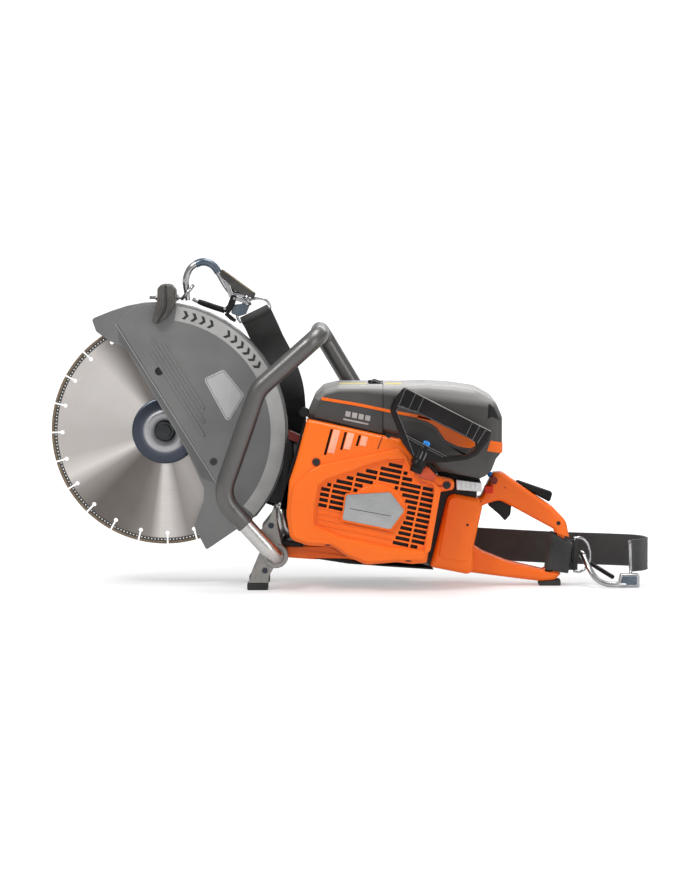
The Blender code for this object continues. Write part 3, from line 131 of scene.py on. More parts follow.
def moulded(
    name, slot, dark, light, rough, mottle=35, grain=1500, depth=0.00006, spread=0.06, coat=0.0,
    metallic=0.0, wear=None, specular=0.5,
):
    """A moulded or cast surface: slow colour changes, fine grain, uneven gloss, and any wear as scuffs."""
    made = Graph(name, slot)
    colour = made.ramp(made.noise(mottle, 5), [(0.35, dark), (0.65, light)])
    gloss = made.span(made.noise(mottle * 4, 4), rough - spread, rough + spread)
    if wear:
        scuffs = made.noise(240, 6, roughness=0.75)
        mask = made.span(scuffs, 0.0, 0.55, 0.66, 0.74)
        colour = made.mix(mask, colour, (*wear, 1.0))
    normal = made.bump(made.noise(grain, 2), depth, 0.6)
    return made.set(
        Base_Color=colour, Roughness=gloss, Metallic=metallic, Coat_Weight=coat, Coat_Roughness=0.15,
        Normal=normal, Specular_IOR_Level=specular,
    )


ORANGE = moulded(
    "orange_plastic", "orange_shell", (0.86, 0.136, 0.005), (0.92, 0.158, 0.006), 0.36, mottle=9, grain=1300,
    coat=0.12, depth=0.00003, specular=0.3,
)
COVER = moulded(
    "cover_plastic", "dark_cover", (0.04, 0.039, 0.038), (0.052, 0.05, 0.048), 0.42, grain=2600, depth=0.0001,
)
BLACK = moulded(
    "black_plastic", "black_plastic", (0.006, 0.0048, 0.005), (0.011, 0.009, 0.0093), 0.33, grain=2200,
    specular=0.22,
)
# Near-black for dark joints and seams, and painted shade in holes, slots and gaps.
JOINT_AND_HOLLOW_SHADE = moulded("dark_joints_and_hollow_shade", "black_plastic", (0.004, 0.004, 0.004), (0.008, 0.008, 0.008), 0.7)
RUBBER = moulded(
    "rubber", "rubber", (0.018, 0.018, 0.018), (0.032, 0.031, 0.031), 0.72, grain=1800, depth=0.0001,
)
KNOB = moulded(
    "knob_rubber", "grip_rubber", (0.058, 0.053, 0.048), (0.082, 0.076, 0.07), 0.5, grain=1500, depth=0.0001,
)
GRIP = moulded(
    "grip_coating", "grip_rubber", (0.13, 0.127, 0.125), (0.142, 0.139, 0.136), 0.34, mottle=8, grain=2600,
    depth=0.00003, spread=0.02, metallic=0.7,
)
CASTING = moulded(
    "guard_paint", "guard_casting", (0.15, 0.15, 0.15), (0.174, 0.174, 0.172), 0.4, mottle=22, grain=1900,
    depth=0.00008, metallic=0.25, wear=(0.33, 0.33, 0.32),
)
ARM_PAINT = moulded(
    "arm_paint", "guard_casting", (0.055, 0.056, 0.058), (0.085, 0.086, 0.088), 0.42, grain=1500,
    depth=0.00012, metallic=0.3, wear=(0.2, 0.2, 0.2),
)
ENGINE = moulded(
    "engine_casting", "engine_castings", (0.05, 0.05, 0.053), (0.095, 0.095, 0.098), 0.55, grain=1100,
    depth=0.00025, metallic=0.6,
)
DARK_STEEL = moulded(
    "dark_steel", "dark_steel", (0.03, 0.036, 0.048), (0.055, 0.062, 0.078), 0.33, grain=900, depth=0.00003,
    metallic=0.85,
)
FOAM = moulded(
    "filter_foam", "filter_foam", (0.1, 0.085, 0.04), (0.3, 0.26, 0.14), 0.95, grain=700, depth=0.0008,
)
RED = moulded("red_plastic", "red_plastic", (0.62, 0.03, 0.006), (0.74, 0.04, 0.01), 0.42, specular=0.25)
MAROON = moulded(
    "dark_red_plastic", "red_plastic", (0.12, 0.012, 0.008), (0.18, 0.02, 0.014), 0.42, specular=0.3,
)
BLUE = moulded("blue_plastic", "blue_plastic", (0.01, 0.16, 0.62), (0.02, 0.26, 0.85), 0.4)
FILM = moulded(
    "reflective_film", None, (0.36, 0.355, 0.345), (0.43, 0.425, 0.415), 0.36, grain=900, depth=0.00008,
    metallic=0.2,
)
INK = moulded("printed_black", None, (0.012, 0.012, 0.012), (0.022, 0.022, 0.022), 0.4)
YELLOW = moulded("yellow_film", None, (0.62, 0.48, 0.02), (0.7, 0.56, 0.04), 0.35)
PALE_ORANGE = moulded("pale_orange_bar", "orange_shell", (0.9, 0.36, 0.22), (0.94, 0.44, 0.28), 0.35)


def brushed(name, slot, dark, light, rough, direction, metallic=1.0, depth=0.00004):
    """Metal with fine scratches that run along one axis of the object's own space."""
    made = Graph(name, slot)
    stretch = made.add("Mapping", {"Vector": made.place, "Scale": direction}).outputs["Vector"]
    lines = made.noise(1.0, 4, stretch)
    colour = made.ramp(made.mix(0.35, lines, made.noise(40, 4)), [(0.35, dark), (0.65, light)])
    normal = made.bump(lines, depth, 0.5)
    return made.set(
        Base_Color=colour, Roughness=made.span(lines, rough - 0.07, rough + 0.07), Metallic=metallic,
        Normal=normal,
    )


TUBE_STEEL = brushed("tube_steel", "steel", (0.55, 0.54, 0.53), (0.63, 0.62, 0.6), 0.3, (500, 500, 60))
PLATE_STEEL = brushed("plate_steel", "steel", (0.4, 0.39, 0.37), (0.58, 0.56, 0.54), 0.36, (700, 700, 70))
ALUMINIUM = brushed("aluminium", "aluminium", (0.5, 0.5, 0.5), (0.66, 0.66, 0.66), 0.34, (60, 900, 900))
CHROME = brushed(
    "chrome", "chrome", (0.34, 0.345, 0.355), (0.52, 0.52, 0.53), 0.16, (120, 120, 120), depth=0.00001,
)


def polar(made, centre):
    """(radius, angle in turns) about an axis along Y through the centre (x, z)."""
    split = made.split()
    x = made.math("SUBTRACT", split["X"], centre[0])
    z = made.math("SUBTRACT", split["Z"], centre[1])
    radius = made.math("SQRT", made.math("ADD", made.math("MULTIPLY", x, x), made.math("MULTIPLY", z, z)))
    turns = made.math("DIVIDE", made.math("ARCTAN2", z, x), 2 * pi)
    return radius, made.math("FRACT", made.math("ADD", turns, 1.0))


SPINDLE = (-0.287, 0.2395)
# (turns, brightness) of the light and dark fans painted into the blade's colour: painted reflections of the
# lamps, with painted shade between them.
PAINTED_REFLECTION_FANS = [
    (0.0, 0.4), (0.1, 0.5), (0.28, 0.2), (0.325, 0.14), (0.345, 0.44), (0.37, 0.92), (0.43, 0.88),
    (0.475, 0.76), (0.505, 0.64), (0.54, 0.58), (0.57, 0.92), (0.594, 0.32), (0.63, 0.04), (0.69, 0.09),
    (0.726, 0.26), (0.743, 0.95), (0.758, 0.9), (0.785, 0.3), (0.825, 0.55),
]


def ground_disc():
    """The blade: painted fans of reflected light and shade, fine rings, a dark ground edge and the brazed
    foot of the rim.
    """
    made = Graph("blade_steel", "blade_steel")
    radius, turns = polar(made, SPINDLE)
    painted_reflection = made.ramp(turns, [(at, (bright,) * 3) for at, bright in PAINTED_REFLECTION_FANS])
    rings = made.rings(radius, turns, 2600.0, 6.0, 5)

    def beyond(start, end):
        """Turns from 0 to 1 between two radii, each a share of 0.2 m."""
        stops = [(0.0, (0, 0, 0)), (start, (0, 0, 0)), (end, (1, 1, 1)), (1.0, (1, 1, 1))]
        return made.ramp(made.math("MULTIPLY", radius, 1 / 0.2), stops)

    # The fans mix dark and pale steel: painted reflections and painted shade.
    steel = made.mix(painted_reflection, (0.105, 0.09, 0.082, 1), (0.82, 0.78, 0.755, 1))
    steel = made.mix(made.span(rings, 0.0, 0.16), steel, (0.3, 0.27, 0.25, 1))
    steel = made.mix(made.span(made.noise(18, 4), 0.0, 0.1), steel, (0.45, 0.38, 0.32, 1))
    steel = made.mix(beyond(0.828, 0.83), steel, (0.085, 0.08, 0.074, 1))
    braze = made.ramp(made.noise(900, 3), [(0.4, (0.16, 0.12, 0.085)), (0.6, (0.46, 0.38, 0.29))])
    steel = made.mix(beyond(0.856, 0.8575), steel, braze)
    return made.set(
        Base_Color=steel, Metallic=0.85, Roughness=made.span(rings, 0.32, 0.44), Anisotropic=0.7,
        Normal=made.bump(rings, 0.00002, 0.6), Tangent=made.around_y(),
    )


def grit():
    made = Graph("diamond_grit", "blade_steel")
    grains = made.add("TexVoronoi", {"Vector": made.place, "Scale": 1100.0}).outputs
    colour = made.ramp(grains["Distance"], [(0.1, (0.42, 0.33, 0.23)), (0.6, (0.13, 0.095, 0.065))])
    return made.set(
        Base_Color=colour, Metallic=0.6, Roughness=0.5, Normal=made.bump(grains["Distance"], 0.0004, 1.0),
    )


def turned_metal(name, slot, stops):
    """Lathe-turned metal whose colour follows the distance from the spindle, up to 55 mm."""
    made = Graph(name, slot)
    radius, turns = polar(made, SPINDLE)
    colour = made.ramp(made.math("MULTIPLY", radius, 1 / 0.055), stops)
    rings = made.rings(radius, turns, 2200.0, 9.0, 3)
    colour = made.mix(made.span(rings, 0.0, 0.3), colour, (0.02, 0.02, 0.025, 1))
    return made.set(
        Base_Color=colour, Metallic=0.9, Roughness=made.span(rings, 0.25, 0.35), Anisotropic=0.6,
        Normal=made.bump(rings, 0.00002, 0.5), Tangent=made.around_y(),
    )


BLADE = ground_disc()
GRIT = grit()
FLANGE = turned_metal(
    "flange_metal", "dark_steel",
    [
        (0.0, (0.016, 0.018, 0.02)), (0.27, (0.02, 0.022, 0.025)), (0.31, (0.12, 0.12, 0.13)),
        (0.42, (0.4, 0.4, 0.41)), (0.56, (0.52, 0.52, 0.54)), (0.63, (0.11, 0.12, 0.15)),
        (0.72, (0.07, 0.08, 0.104)), (1.0, (0.055, 0.064, 0.086)),
    ],
)
BOLT = turned_metal("bolt_metal", "steel", [(0.0, (0.045, 0.048, 0.05)), (1.0, (0.085, 0.09, 0.094))])


def woven(name, slot, dark, light):
    """Webbing: a flat twill along the strap's own UVs, in metres, with a little sheen."""
    made = Graph(name, slot)
    split = made.split(made.add("UVMap").outputs["UV"])
    warp = made.math("SINE", made.math("MULTIPLY", split["X"], 2 * pi / 0.0011))
    slant = made.math("ADD", split["Y"], made.math("MULTIPLY", split["X"], 0.8))
    weft = made.math("SINE", made.math("MULTIPLY", slant, 2 * pi / 0.0022))
    height = made.math("MULTIPLY", warp, weft)
    cloud = made.mix(0.5, made.noise(55, 5), made.noise(900, 2))
    colour = made.ramp(cloud, [(0.35, dark), (0.65, light)])
    colour = made.mix(made.span(height, 0.0, 0.5, -1.0, 1.0), colour, (*[c * 1.6 for c in light], 1))
    return made.set(
        Base_Color=colour, Roughness=0.82, Sheen_Weight=0.25, Normal=made.bump(height, 0.0003, 0.8),
    )


WEBBING = woven("black_webbing", "webbing", (0.022, 0.022, 0.022), (0.046, 0.045, 0.044))

ALUMINIUM_DULL = brushed(
    "dull_plate", "aluminium", (0.46, 0.46, 0.46), (0.54, 0.54, 0.54), 0.42, (900, 900, 60), metallic=0.7,
)
BLUED = moulded(
    "blued_steel", "steel", (0.075, 0.1, 0.13), (0.14, 0.17, 0.205), 0.28, grain=900, depth=0.00003,
    metallic=0.7,
)
SLEEVE = moulded(
    "dark_sleeve", "dark_steel", (0.05, 0.048, 0.045), (0.085, 0.08, 0.072), 0.38, grain=900, depth=0.00005,
    metallic=0.5,
)
BRASS = moulded("brass_edge", "steel", (0.35, 0.27, 0.15), (0.5, 0.4, 0.25), 0.35, metallic=0.9)
# Darker orange for recesses: painted shade in the funnel and round the screws.
ORANGE_SHADE = moulded(
    "shaded_orange_plastic", "orange_shell", (0.62, 0.06, 0.008), (0.72, 0.08, 0.01), 0.38, coat=0.2,
)
BLACK_STEEL = moulded(
    "black_screw", "dark_steel", (0.018, 0.018, 0.019), (0.035, 0.035, 0.036), 0.35, metallic=0.6,
)
SILVER_PLATE = brushed(
    "silver_plate", "aluminium", (0.36, 0.365, 0.37), (0.46, 0.465, 0.47), 0.38, (60, 900, 900), metallic=0.8,
)
# Grey on the black pull handle for lines along its moulded edges and flutes: painted highlights.
RIB_HIGHLIGHT = moulded("painted_rib_highlight", "black_plastic", (0.13, 0.13, 0.13), (0.18, 0.18, 0.18), 0.25)
FOOT_STEEL = brushed("foot_steel", "steel", (0.25, 0.24, 0.23), (0.37, 0.36, 0.34), 0.42, (700, 700, 70))
# Pale grey for the pull handle's upper edge: a painted highlight.
EDGE_HIGHLIGHT = moulded("painted_edge_highlight", "black_plastic", (0.34, 0.34, 0.33), (0.44, 0.44, 0.43), 0.3)
BLUE_ROPE = moulded(
    "blue_rope", "blue_plastic", (0.01, 0.2, 0.66), (0.03, 0.32, 0.86), 0.55, grain=1200, depth=0.0003,
)
FOLD = moulded(
    "folded_webbing", "webbing", (0.024, 0.024, 0.024), (0.04, 0.039, 0.038), 0.8, grain=1400, depth=0.0003,
)
THREAD = moulded("black_thread", "webbing", (0.05, 0.05, 0.05), (0.09, 0.09, 0.09), 0.7, grain=3000)
# The guard's paint darkened for the band beside the crease: painted shade, over real scuffs.
CASTING_SHADE = moulded(
    "guard_paint_shaded", "guard_casting", (0.105, 0.105, 0.105), (0.125, 0.125, 0.124), 0.42, mottle=22,
    grain=1900, depth=0.00008, metallic=0.25, wear=(0.25, 0.25, 0.24),
)


def top_lit_plastic():
    """The covers' grained plastic, with a painted highlight where it faces up and in a band near its top."""
    made = Graph("cover_top_plastic", "dark_cover")
    colour = made.ramp(made.noise(25, 5), [(0.35, (0.052, 0.049, 0.046)), (0.65, (0.066, 0.062, 0.059))])
    upwards = made.split(made.add("NewGeometry").outputs["Normal"])["Z"]
    split = made.split()
    high = made.math("ADD", split["Z"], made.math("MULTIPLY", split["X"], 0.12))
    # Painted highlight: paler where the surface faces up, and in a band near the covers' top.
    painted_highlight = made.math(
        "MAXIMUM", made.span(upwards, 0.0, 0.85, 0.15, 0.9), made.span(high, 0.0, 0.75, 0.304, 0.315),
    )
    colour = made.mix(painted_highlight, colour, (0.34, 0.33, 0.32, 1))
    gloss = made.span(made.noise(60, 4), 0.32, 0.44)
    return made.set(Base_Color=colour, Roughness=gloss, Normal=made.bump(made.noise(2600, 2), 0.0001, 0.6))


COVER_TOP = top_lit_plastic()

# --- Outlines in the XZ plane -------------------------------------------------------------------------


def mm(*points):
    """Points given in millimetres, as a list of points in metres."""
    return [tuple(round(value / 1000, 7) for value in point) for point in points]


def arc(centre, radius, start, end, steps):
    points = []
    for step in range(steps + 1):
        angle = radians(start + (end - start) * step / steps)
        points.append((centre[0] + radius * cos(angle), centre[1] + radius * sin(angle)))
    return points


def circle(centre, radius, sides=32):
    return arc(centre, radius, 0, 360 * (sides - 1) / sides, sides - 1)


def band(centre, inner, outer, start, end, steps):
    return arc(centre, outer, start, end, steps) + arc(centre, inner, end, start, steps)


def rounded(corners, steps=6):
    """A closed outline through the corners (x, z, radius), each rounded by an arc of its radius."""
    outline = []
    for i, (x, z, radius) in enumerate(corners):
        here = Vector((x, z))
        if radius == 0:
            outline.append((x, z))
            continue
        to_last = (Vector(corners[i - 1][:2]) - here).normalized()
        to_next = (Vector(corners[(i + 1) % len(corners)][:2]) - here).normalized()
        half = acos(max(-1.0, min(1.0, to_last.dot(to_next)))) / 2
        centre = here + (to_last + to_next).normalized() * radius / sin(half)
        first = here + to_last * radius / tan(half) - centre
        last = here + to_next * radius / tan(half) - centre
        start = atan2(first.y, first.x)
        turn = (atan2(last.y, last.x) - start + pi) % (2 * pi) - pi
        for step in range(steps + 1):
            angle = start + turn * step / steps
            outline.append((centre.x + radius * cos(angle), centre.y + radius * sin(angle)))
    return outline


def area_of(outline):
    return sum(a[0] * b[1] - b[0] * a[1] for a, b in zip(outline, outline[1:] + outline[:1])) / 2


def inset(outline, distance):
    side = 1 if area_of(outline) > 0 else -1
    moved = []
    for i, point in enumerate(outline):
        here = Vector(point)
        into = (here - Vector(outline[i - 1])).normalized()
        out = (Vector(outline[(i + 1) % len(outline)]) - here).normalized()
        normal_in = Vector((-into.y, into.x)) * side
        normal_out = Vector((-out.y, out.x)) * side
        shift = (normal_in + normal_out) / (1 + normal_in.dot(normal_out))
        moved.append(tuple(here + shift * distance))
    return moved


def section_of(outline, distance=0.0, steps=6):
    """The outline moved inwards, as points. Its corners are (x, z), or (x, z, radius) if rounded."""
    corners = [(*corner, 0.0)[:3] for corner in outline]
    flat = [corner[:2] for corner in corners]
    side = 1 if area_of(flat) > 0 else -1
    moved = inset(flat, distance) if distance else flat
    shaped = []
    for i, (x, z) in enumerate(moved):
        radius = corners[i][2]
        if radius:
            into = Vector(flat[i]) - Vector(flat[i - 1])
            out = Vector(flat[(i + 1) % len(flat)]) - Vector(flat[i])
            convex = (into.x * out.y - into.y * out.x) * side > 0
            radius = max(radius - distance, 0.0002) if convex else radius + distance
        shaped.append((x, z, radius))
    return rounded(shaped, steps)


def belt_line(first, first_radius, second, second_radius, steps=40):
    """The outline of a tight band round two circles."""
    a = Vector(first)
    b = Vector(second)
    along = atan2((b - a).y, (b - a).x)
    lean = acos((first_radius - second_radius) / (b - a).length)
    turns = [(a, first_radius, along + lean, 2 * pi - 2 * lean), (b, second_radius, along - lean, 2 * lean)]
    outline = []
    for centre, radius, start, turn in turns:
        for step in range(steps + 1):
            angle = start + turn * step / steps
            outline.append((centre.x + radius * cos(angle), centre.y + radius * sin(angle)))
    return outline


# --- Pieces -------------------------------------------------------------------------------------------


def mesh_of(name, built):
    """The bmesh as a mesh, its doubled points joined and its faces turned outwards."""
    bmesh.ops.remove_doubles(built, verts=built.verts, dist=1e-7)
    bmesh.ops.recalc_face_normals(built, faces=built.faces)
    mesh = bpy.data.meshes.new(name)
    built.to_mesh(mesh)
    built.free()
    return mesh


def piece(name, built, look, body="chassis", stands_for=(), smooth=38):
    """Turns the bmesh into a piece of the object that rides on the body and stands for the CAD nodes."""
    return as_piece(name, mesh_of(name, built), look, body, stands_for, smooth)


def as_piece(name, mesh, look, body, stands_for, smooth):
    obj = bpy.data.objects.new(name, mesh)
    SCENE.collection.objects.link(obj)
    mesh.materials.clear()
    mesh.materials.append(look)
    if smooth:
        mesh.shade_smooth()
        mesh.set_sharp_from_angle(angle=radians(smooth))
    if body:
        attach(obj, body)
    if stands_for:
        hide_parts(*stands_for)
    return obj


def lofted(built, rings, closed=False):
    """Faces between the rings of points, each ring with the same count."""
    made = [[built.verts.new(point) for point in ring] for ring in rings]
    count = len(made[0])
    pairs = list(zip(made, made[1:])) + ([(made[-1], made[0])] if closed else [])
    for here, after in pairs:
        for i in range(count):
            j = (i + 1) % count
            built.faces.new((here[i], here[j], after[j], after[i]))
    if not closed:
        built.faces.new(made[0])
        built.faces.new(made[-1])
    return made


def rounding(edge, steps):
    """(depth, inset) of the sections that round an edge, from its face inwards."""
    if not edge:
        return [(0.0, 0.0)]
    turns = [pi / 2 * step / steps for step in range(steps + 1)]
    return [(edge * (1 - cos(turn)), edge * (1 - sin(turn))) for turn in turns]


def add_slab(built, outline, near, far, edge=0.0, far_edge=None, steps=5, corner_steps=6):
    """Adds a flat solid between two y values, with rounded edges."""
    far_edge = edge if far_edge is None else far_edge
    sections = [(near + depth, into) for depth, into in rounding(edge, steps)]
    sections += [(far - depth, into) for depth, into in reversed(rounding(far_edge, steps))]
    lofted(built, [[(x, y, z) for x, z in section_of(outline, into, corner_steps)] for y, into in sections])


def slab(name, outline, near, far, look, body="chassis", stands_for=(), **how):
    built = bmesh.new()
    add_slab(built, outline, near, far, **how)
    return piece(name, built, look, body, stands_for)


def slabs(name, outlines, near, far, look, body="chassis", **how):
    """One piece that holds a slab for each outline."""
    built = bmesh.new()
    for outline in outlines:
        add_slab(built, outline, near, far, **how)
    return piece(name, built, look, body)


def plate_mesh(outlines, near, far, edge, steps):
    """The mesh of a flat plate in the XZ plane. Outlines inside another are its holes."""
    curve = bpy.data.curves.new("plate", "CURVE")
    curve.dimensions = "2D"
    curve.fill_mode = "BOTH"
    curve.extrude = (far - near) / 2 - edge
    curve.bevel_depth = edge
    curve.bevel_resolution = steps
    curve.offset = -edge
    for outline in outlines:
        spline = curve.splines.new("POLY")
        spline.points.add(len(outline) - 1)
        for point, (x, z) in zip(spline.points, outline):
            point.co = (x, z, 0, 1)
        spline.use_cyclic_u = True
    holder = bpy.data.objects.new("plate", curve)
    SCENE.collection.objects.link(holder)
    bpy.context.view_layer.update()
    evaluated = holder.evaluated_get(bpy.context.evaluated_depsgraph_get())
    mesh = bpy.data.meshes.new_from_object(evaluated)
    bpy.data.objects.remove(holder)
    bpy.data.curves.remove(curve)
    mesh.transform(Matrix(((1, 0, 0, 0), (0, 0, -1, (near + far) / 2), (0, 1, 0, 0), (0, 0, 0, 1))))
    return mesh


def plate(name, outlines, near, far, look, body="chassis", stands_for=(), edge=0.0, steps=2):
    built = bmesh.new()
    built.from_mesh(plate_mesh(outlines, near, far, edge, steps))
    return piece(name, built, look, body, stands_for)


def add_turned(built, profile, centre, sides=48, axis="Y"):
    """Adds a solid of revolution. The profile is a closed outline of (radius, distance along the axis)."""
    turn = Matrix.Identity(3)
    if axis != "Y":
        turn = Vector((0, 1, 0)).rotation_difference(Vector(axis)).to_matrix()
    count = len(profile)
    rings = []
    for step in range(sides):
        angle = 2 * pi * step / sides
        rings.append([
            built.verts.new(
                Vector(centre) + turn @ Vector((radius * cos(angle), along, radius * sin(angle)))
            ) for radius, along in profile
        ])
    for here, after in zip(rings, rings[1:] + rings[:1]):
        for i in range(count):
            j = (i + 1) % count
            if profile[i][0] > 0 and profile[j][0] > 0:
                built.faces.new((here[i], here[j], after[j], after[i]))
            elif profile[i][0] > 0:
                built.faces.new((here[i], here[j], after[i]))
            elif profile[j][0] > 0:
                built.faces.new((here[i], here[j], after[j]))


def turned(name, profile, centre, look, body="chassis", stands_for=(), sides=48, axis="Y"):
    built = bmesh.new()
    add_turned(built, profile, centre, sides, axis)
    return piece(name, built, look, body, stands_for, smooth=30)


def bent(points, steps=10):
    """A path through the points (x, y, z, bend radius), each inner corner replaced by an arc."""
    path = [Vector(points[0][:3])]
    for before, here, after in zip(points, points[1:], points[2:]):
        corner = Vector(here[:3])
        radius = here[3]
        to_last = (Vector(before[:3]) - corner).normalized()
        to_next = (Vector(after[:3]) - corner).normalized()
        half = to_last.angle(to_next) / 2
        reach = radius / tan(half)
        centre = corner + (to_last + to_next).normalized() * radius / sin(half)
        first = corner + to_last * reach - centre
        last = corner + to_next * reach - centre
        normal = first.cross(last).normalized()
        for step in range(steps + 1):
            path.append(centre + Matrix.Rotation(first.angle(last) * step / steps, 3, normal) @ first)
    path.append(Vector(points[-1][:3]))
    return path


def smooth_path(points, per_span=8):
    """A Catmull-Rom curve through the points."""
    points = [Vector(point) for point in points]
    ends = [2 * points[0] - points[1]] + points + [2 * points[-1] - points[-2]]
    path = []
    for a, b, c, d in zip(ends, ends[1:], ends[2:], ends[3:]):
        for step in range(per_span):
            t = step / per_span
            path.append(
                (
                    a * (2 * t**2 - t - t**3) + b * (
                        2 - 5 * t**2 + 3 * t**3
                    ) + c * (t + 4 * t**2 - 3 * t**3) + d * (t**3 - t**2)
                ) / 2
            )
    path.append(points[-1])
    return path


def frames_along(path, across=None, closed=False):
    """(point, side, other side) at each point, without twist, or square to the given directions."""
    frames = []
    side = None
    count = len(path)
    for i, point in enumerate(path):
        if closed:
            tangent = (path[(i + 1) % count] - path[i - 1]).normalized()
        else:
            tangent = (path[min(i + 1, count - 1)] - path[max(i - 1, 0)]).normalized()
        if across:
            side = across[i] if isinstance(across, list) else across
        elif side is None:
            side = tangent.orthogonal()
        side = (side - tangent * side.dot(tangent)).normalized()
        frames.append((point, side, tangent.cross(side)))
    return frames


def add_tube(built, path, radius, sides=20, closed=False, across=None, squash=1.0):
    radii = radius if isinstance(radius, list) else [radius] * len(path)
    rings = []
    for (point, side, other), r in zip(frames_along(path, across, closed), radii):
        rings.append([point + side * a * squash + other * b for a, b in circle((0, 0), r, sides)])
    lofted(built, rings, closed)


def tube(name, path, radius, look, body="chassis", stands_for=(), **how):
    built = bmesh.new()
    add_tube(built, path, radius, **how)
    return piece(name, built, look, body, stands_for)


def add_box(built, low, high):
    size = Vector(high) - Vector(low)
    middle = Matrix.Translation((Vector(high) + Vector(low)) / 2)
    bmesh.ops.create_cube(built, size=1.0, matrix=middle @ Matrix.Diagonal((*size, 1.0)))


def soften(obj, width, segments=2, limit=35):
    """Rounds the sharp edges of a piece."""
    bevel = obj.modifiers.new("bevel", "BEVEL")
    bevel.width = width
    bevel.segments = segments
    bevel.limit_method = "ANGLE"
    bevel.angle_limit = radians(limit)
    bevel.miter_outer = "MITER_ARC"
    bevel.use_clamp_overlap = True
    obj.data.shade_smooth()
    obj.data.set_sharp_from_angle(angle=radians(180))
    weighted = obj.modifiers.new("weighted", "WEIGHTED_NORMAL")
    weighted.keep_sharp = True
    return obj


def refined(node, look, width=0.0006, segments=2, limit=35):
    """A copy of a CAD node's shape with its flat faces joined and its edges rounded."""
    built = bmesh.new()
    built.from_mesh(frame["nodes"][node].data)
    bmesh.ops.remove_doubles(built, verts=built.verts, dist=2e-6)
    bmesh.ops.dissolve_limit(built, angle_limit=radians(1.0), verts=built.verts, edges=built.edges)
    obj = piece("fine_" + node, built, look, BODY_OF[node], (node,), smooth=0)
    return soften(obj, width, segments, limit)


def carved(name, built, cutters, look, body="chassis", stands_for=(), smooth=38):
    """The first bmesh with the others cut away, one after the other."""
    obj = bpy.data.objects.new(name, mesh_of(name, built))
    SCENE.collection.objects.link(obj)
    for cutter in cutters:
        tool = bpy.data.objects.new(name + "_cutter", mesh_of(name, cutter))
        SCENE.collection.objects.link(tool)
        cut = obj.modifiers.new("cut", "BOOLEAN")
        cut.operation = "DIFFERENCE"
        cut.solver = "EXACT"
        cut.object = tool
        bpy.context.view_layer.update()
        result = bpy.data.meshes.new_from_object(obj.evaluated_get(bpy.context.evaluated_depsgraph_get()))
        obj.modifiers.clear()
        obj.data = result
        bpy.data.objects.remove(tool)
    mesh = obj.data
    bpy.data.objects.remove(obj)
    return as_piece(name, mesh, look, body, stands_for, smooth)


def plug(radius, near, far, inner=0):
    """The profile of a plain disc, or of a ring."""
    return [(inner, near), (radius, near), (radius, far), (inner, far)]


def soft(outline, distance, radius):
    """The section of the outline moved inwards and then given round corners."""
    return section_of([(*point, radius) for point in inset(outline, distance)])


def slab_of(outline, near, far, **how):
    """A bmesh of its own that holds one slab."""
    built = bmesh.new()
    add_slab(built, outline, near, far, **how)
    return built


def at_angle(centre, radius, angle):
    return (centre[0] + radius * cos(radians(angle)), centre[1] + radius * sin(radians(angle)))


def stripe(points, width):
    """The outline of a line of even width through the points (x, z)."""
    left = []
    right = []
    for i, point in enumerate(points):
        before = Vector(points[max(i - 1, 0)])
        after = Vector(points[min(i + 1, len(points) - 1)])
        along = (after - before).normalized()
        across = Vector((-along.y, along.x)) * width / 2
        left.append(tuple(Vector(point) + across))
        right.append(tuple(Vector(point) - across))
    return left + right[::-1]


def screw(name, x, z, face, radius, look, body="chassis", stands_for=(), depth=0.0015):
    """A pan-headed screw with a hex socket 1.2 mm deep, looking towards -Y from the face."""
    head = bmesh.new()
    top = face - depth
    profile = [(0, face), (radius, face), (radius, face - depth * 0.6), (radius * 0.86, top), (0, top)]
    add_turned(head, profile, (x, 0, z), 32)
    socket = slab_of(circle((x, z), radius * 0.45, 6), top - 0.001, top + 0.0012)
    return carved(name, head, [socket], look, body, stands_for, smooth=30)


# --- Camera, lights and floor -------------------------------------------------------------------------


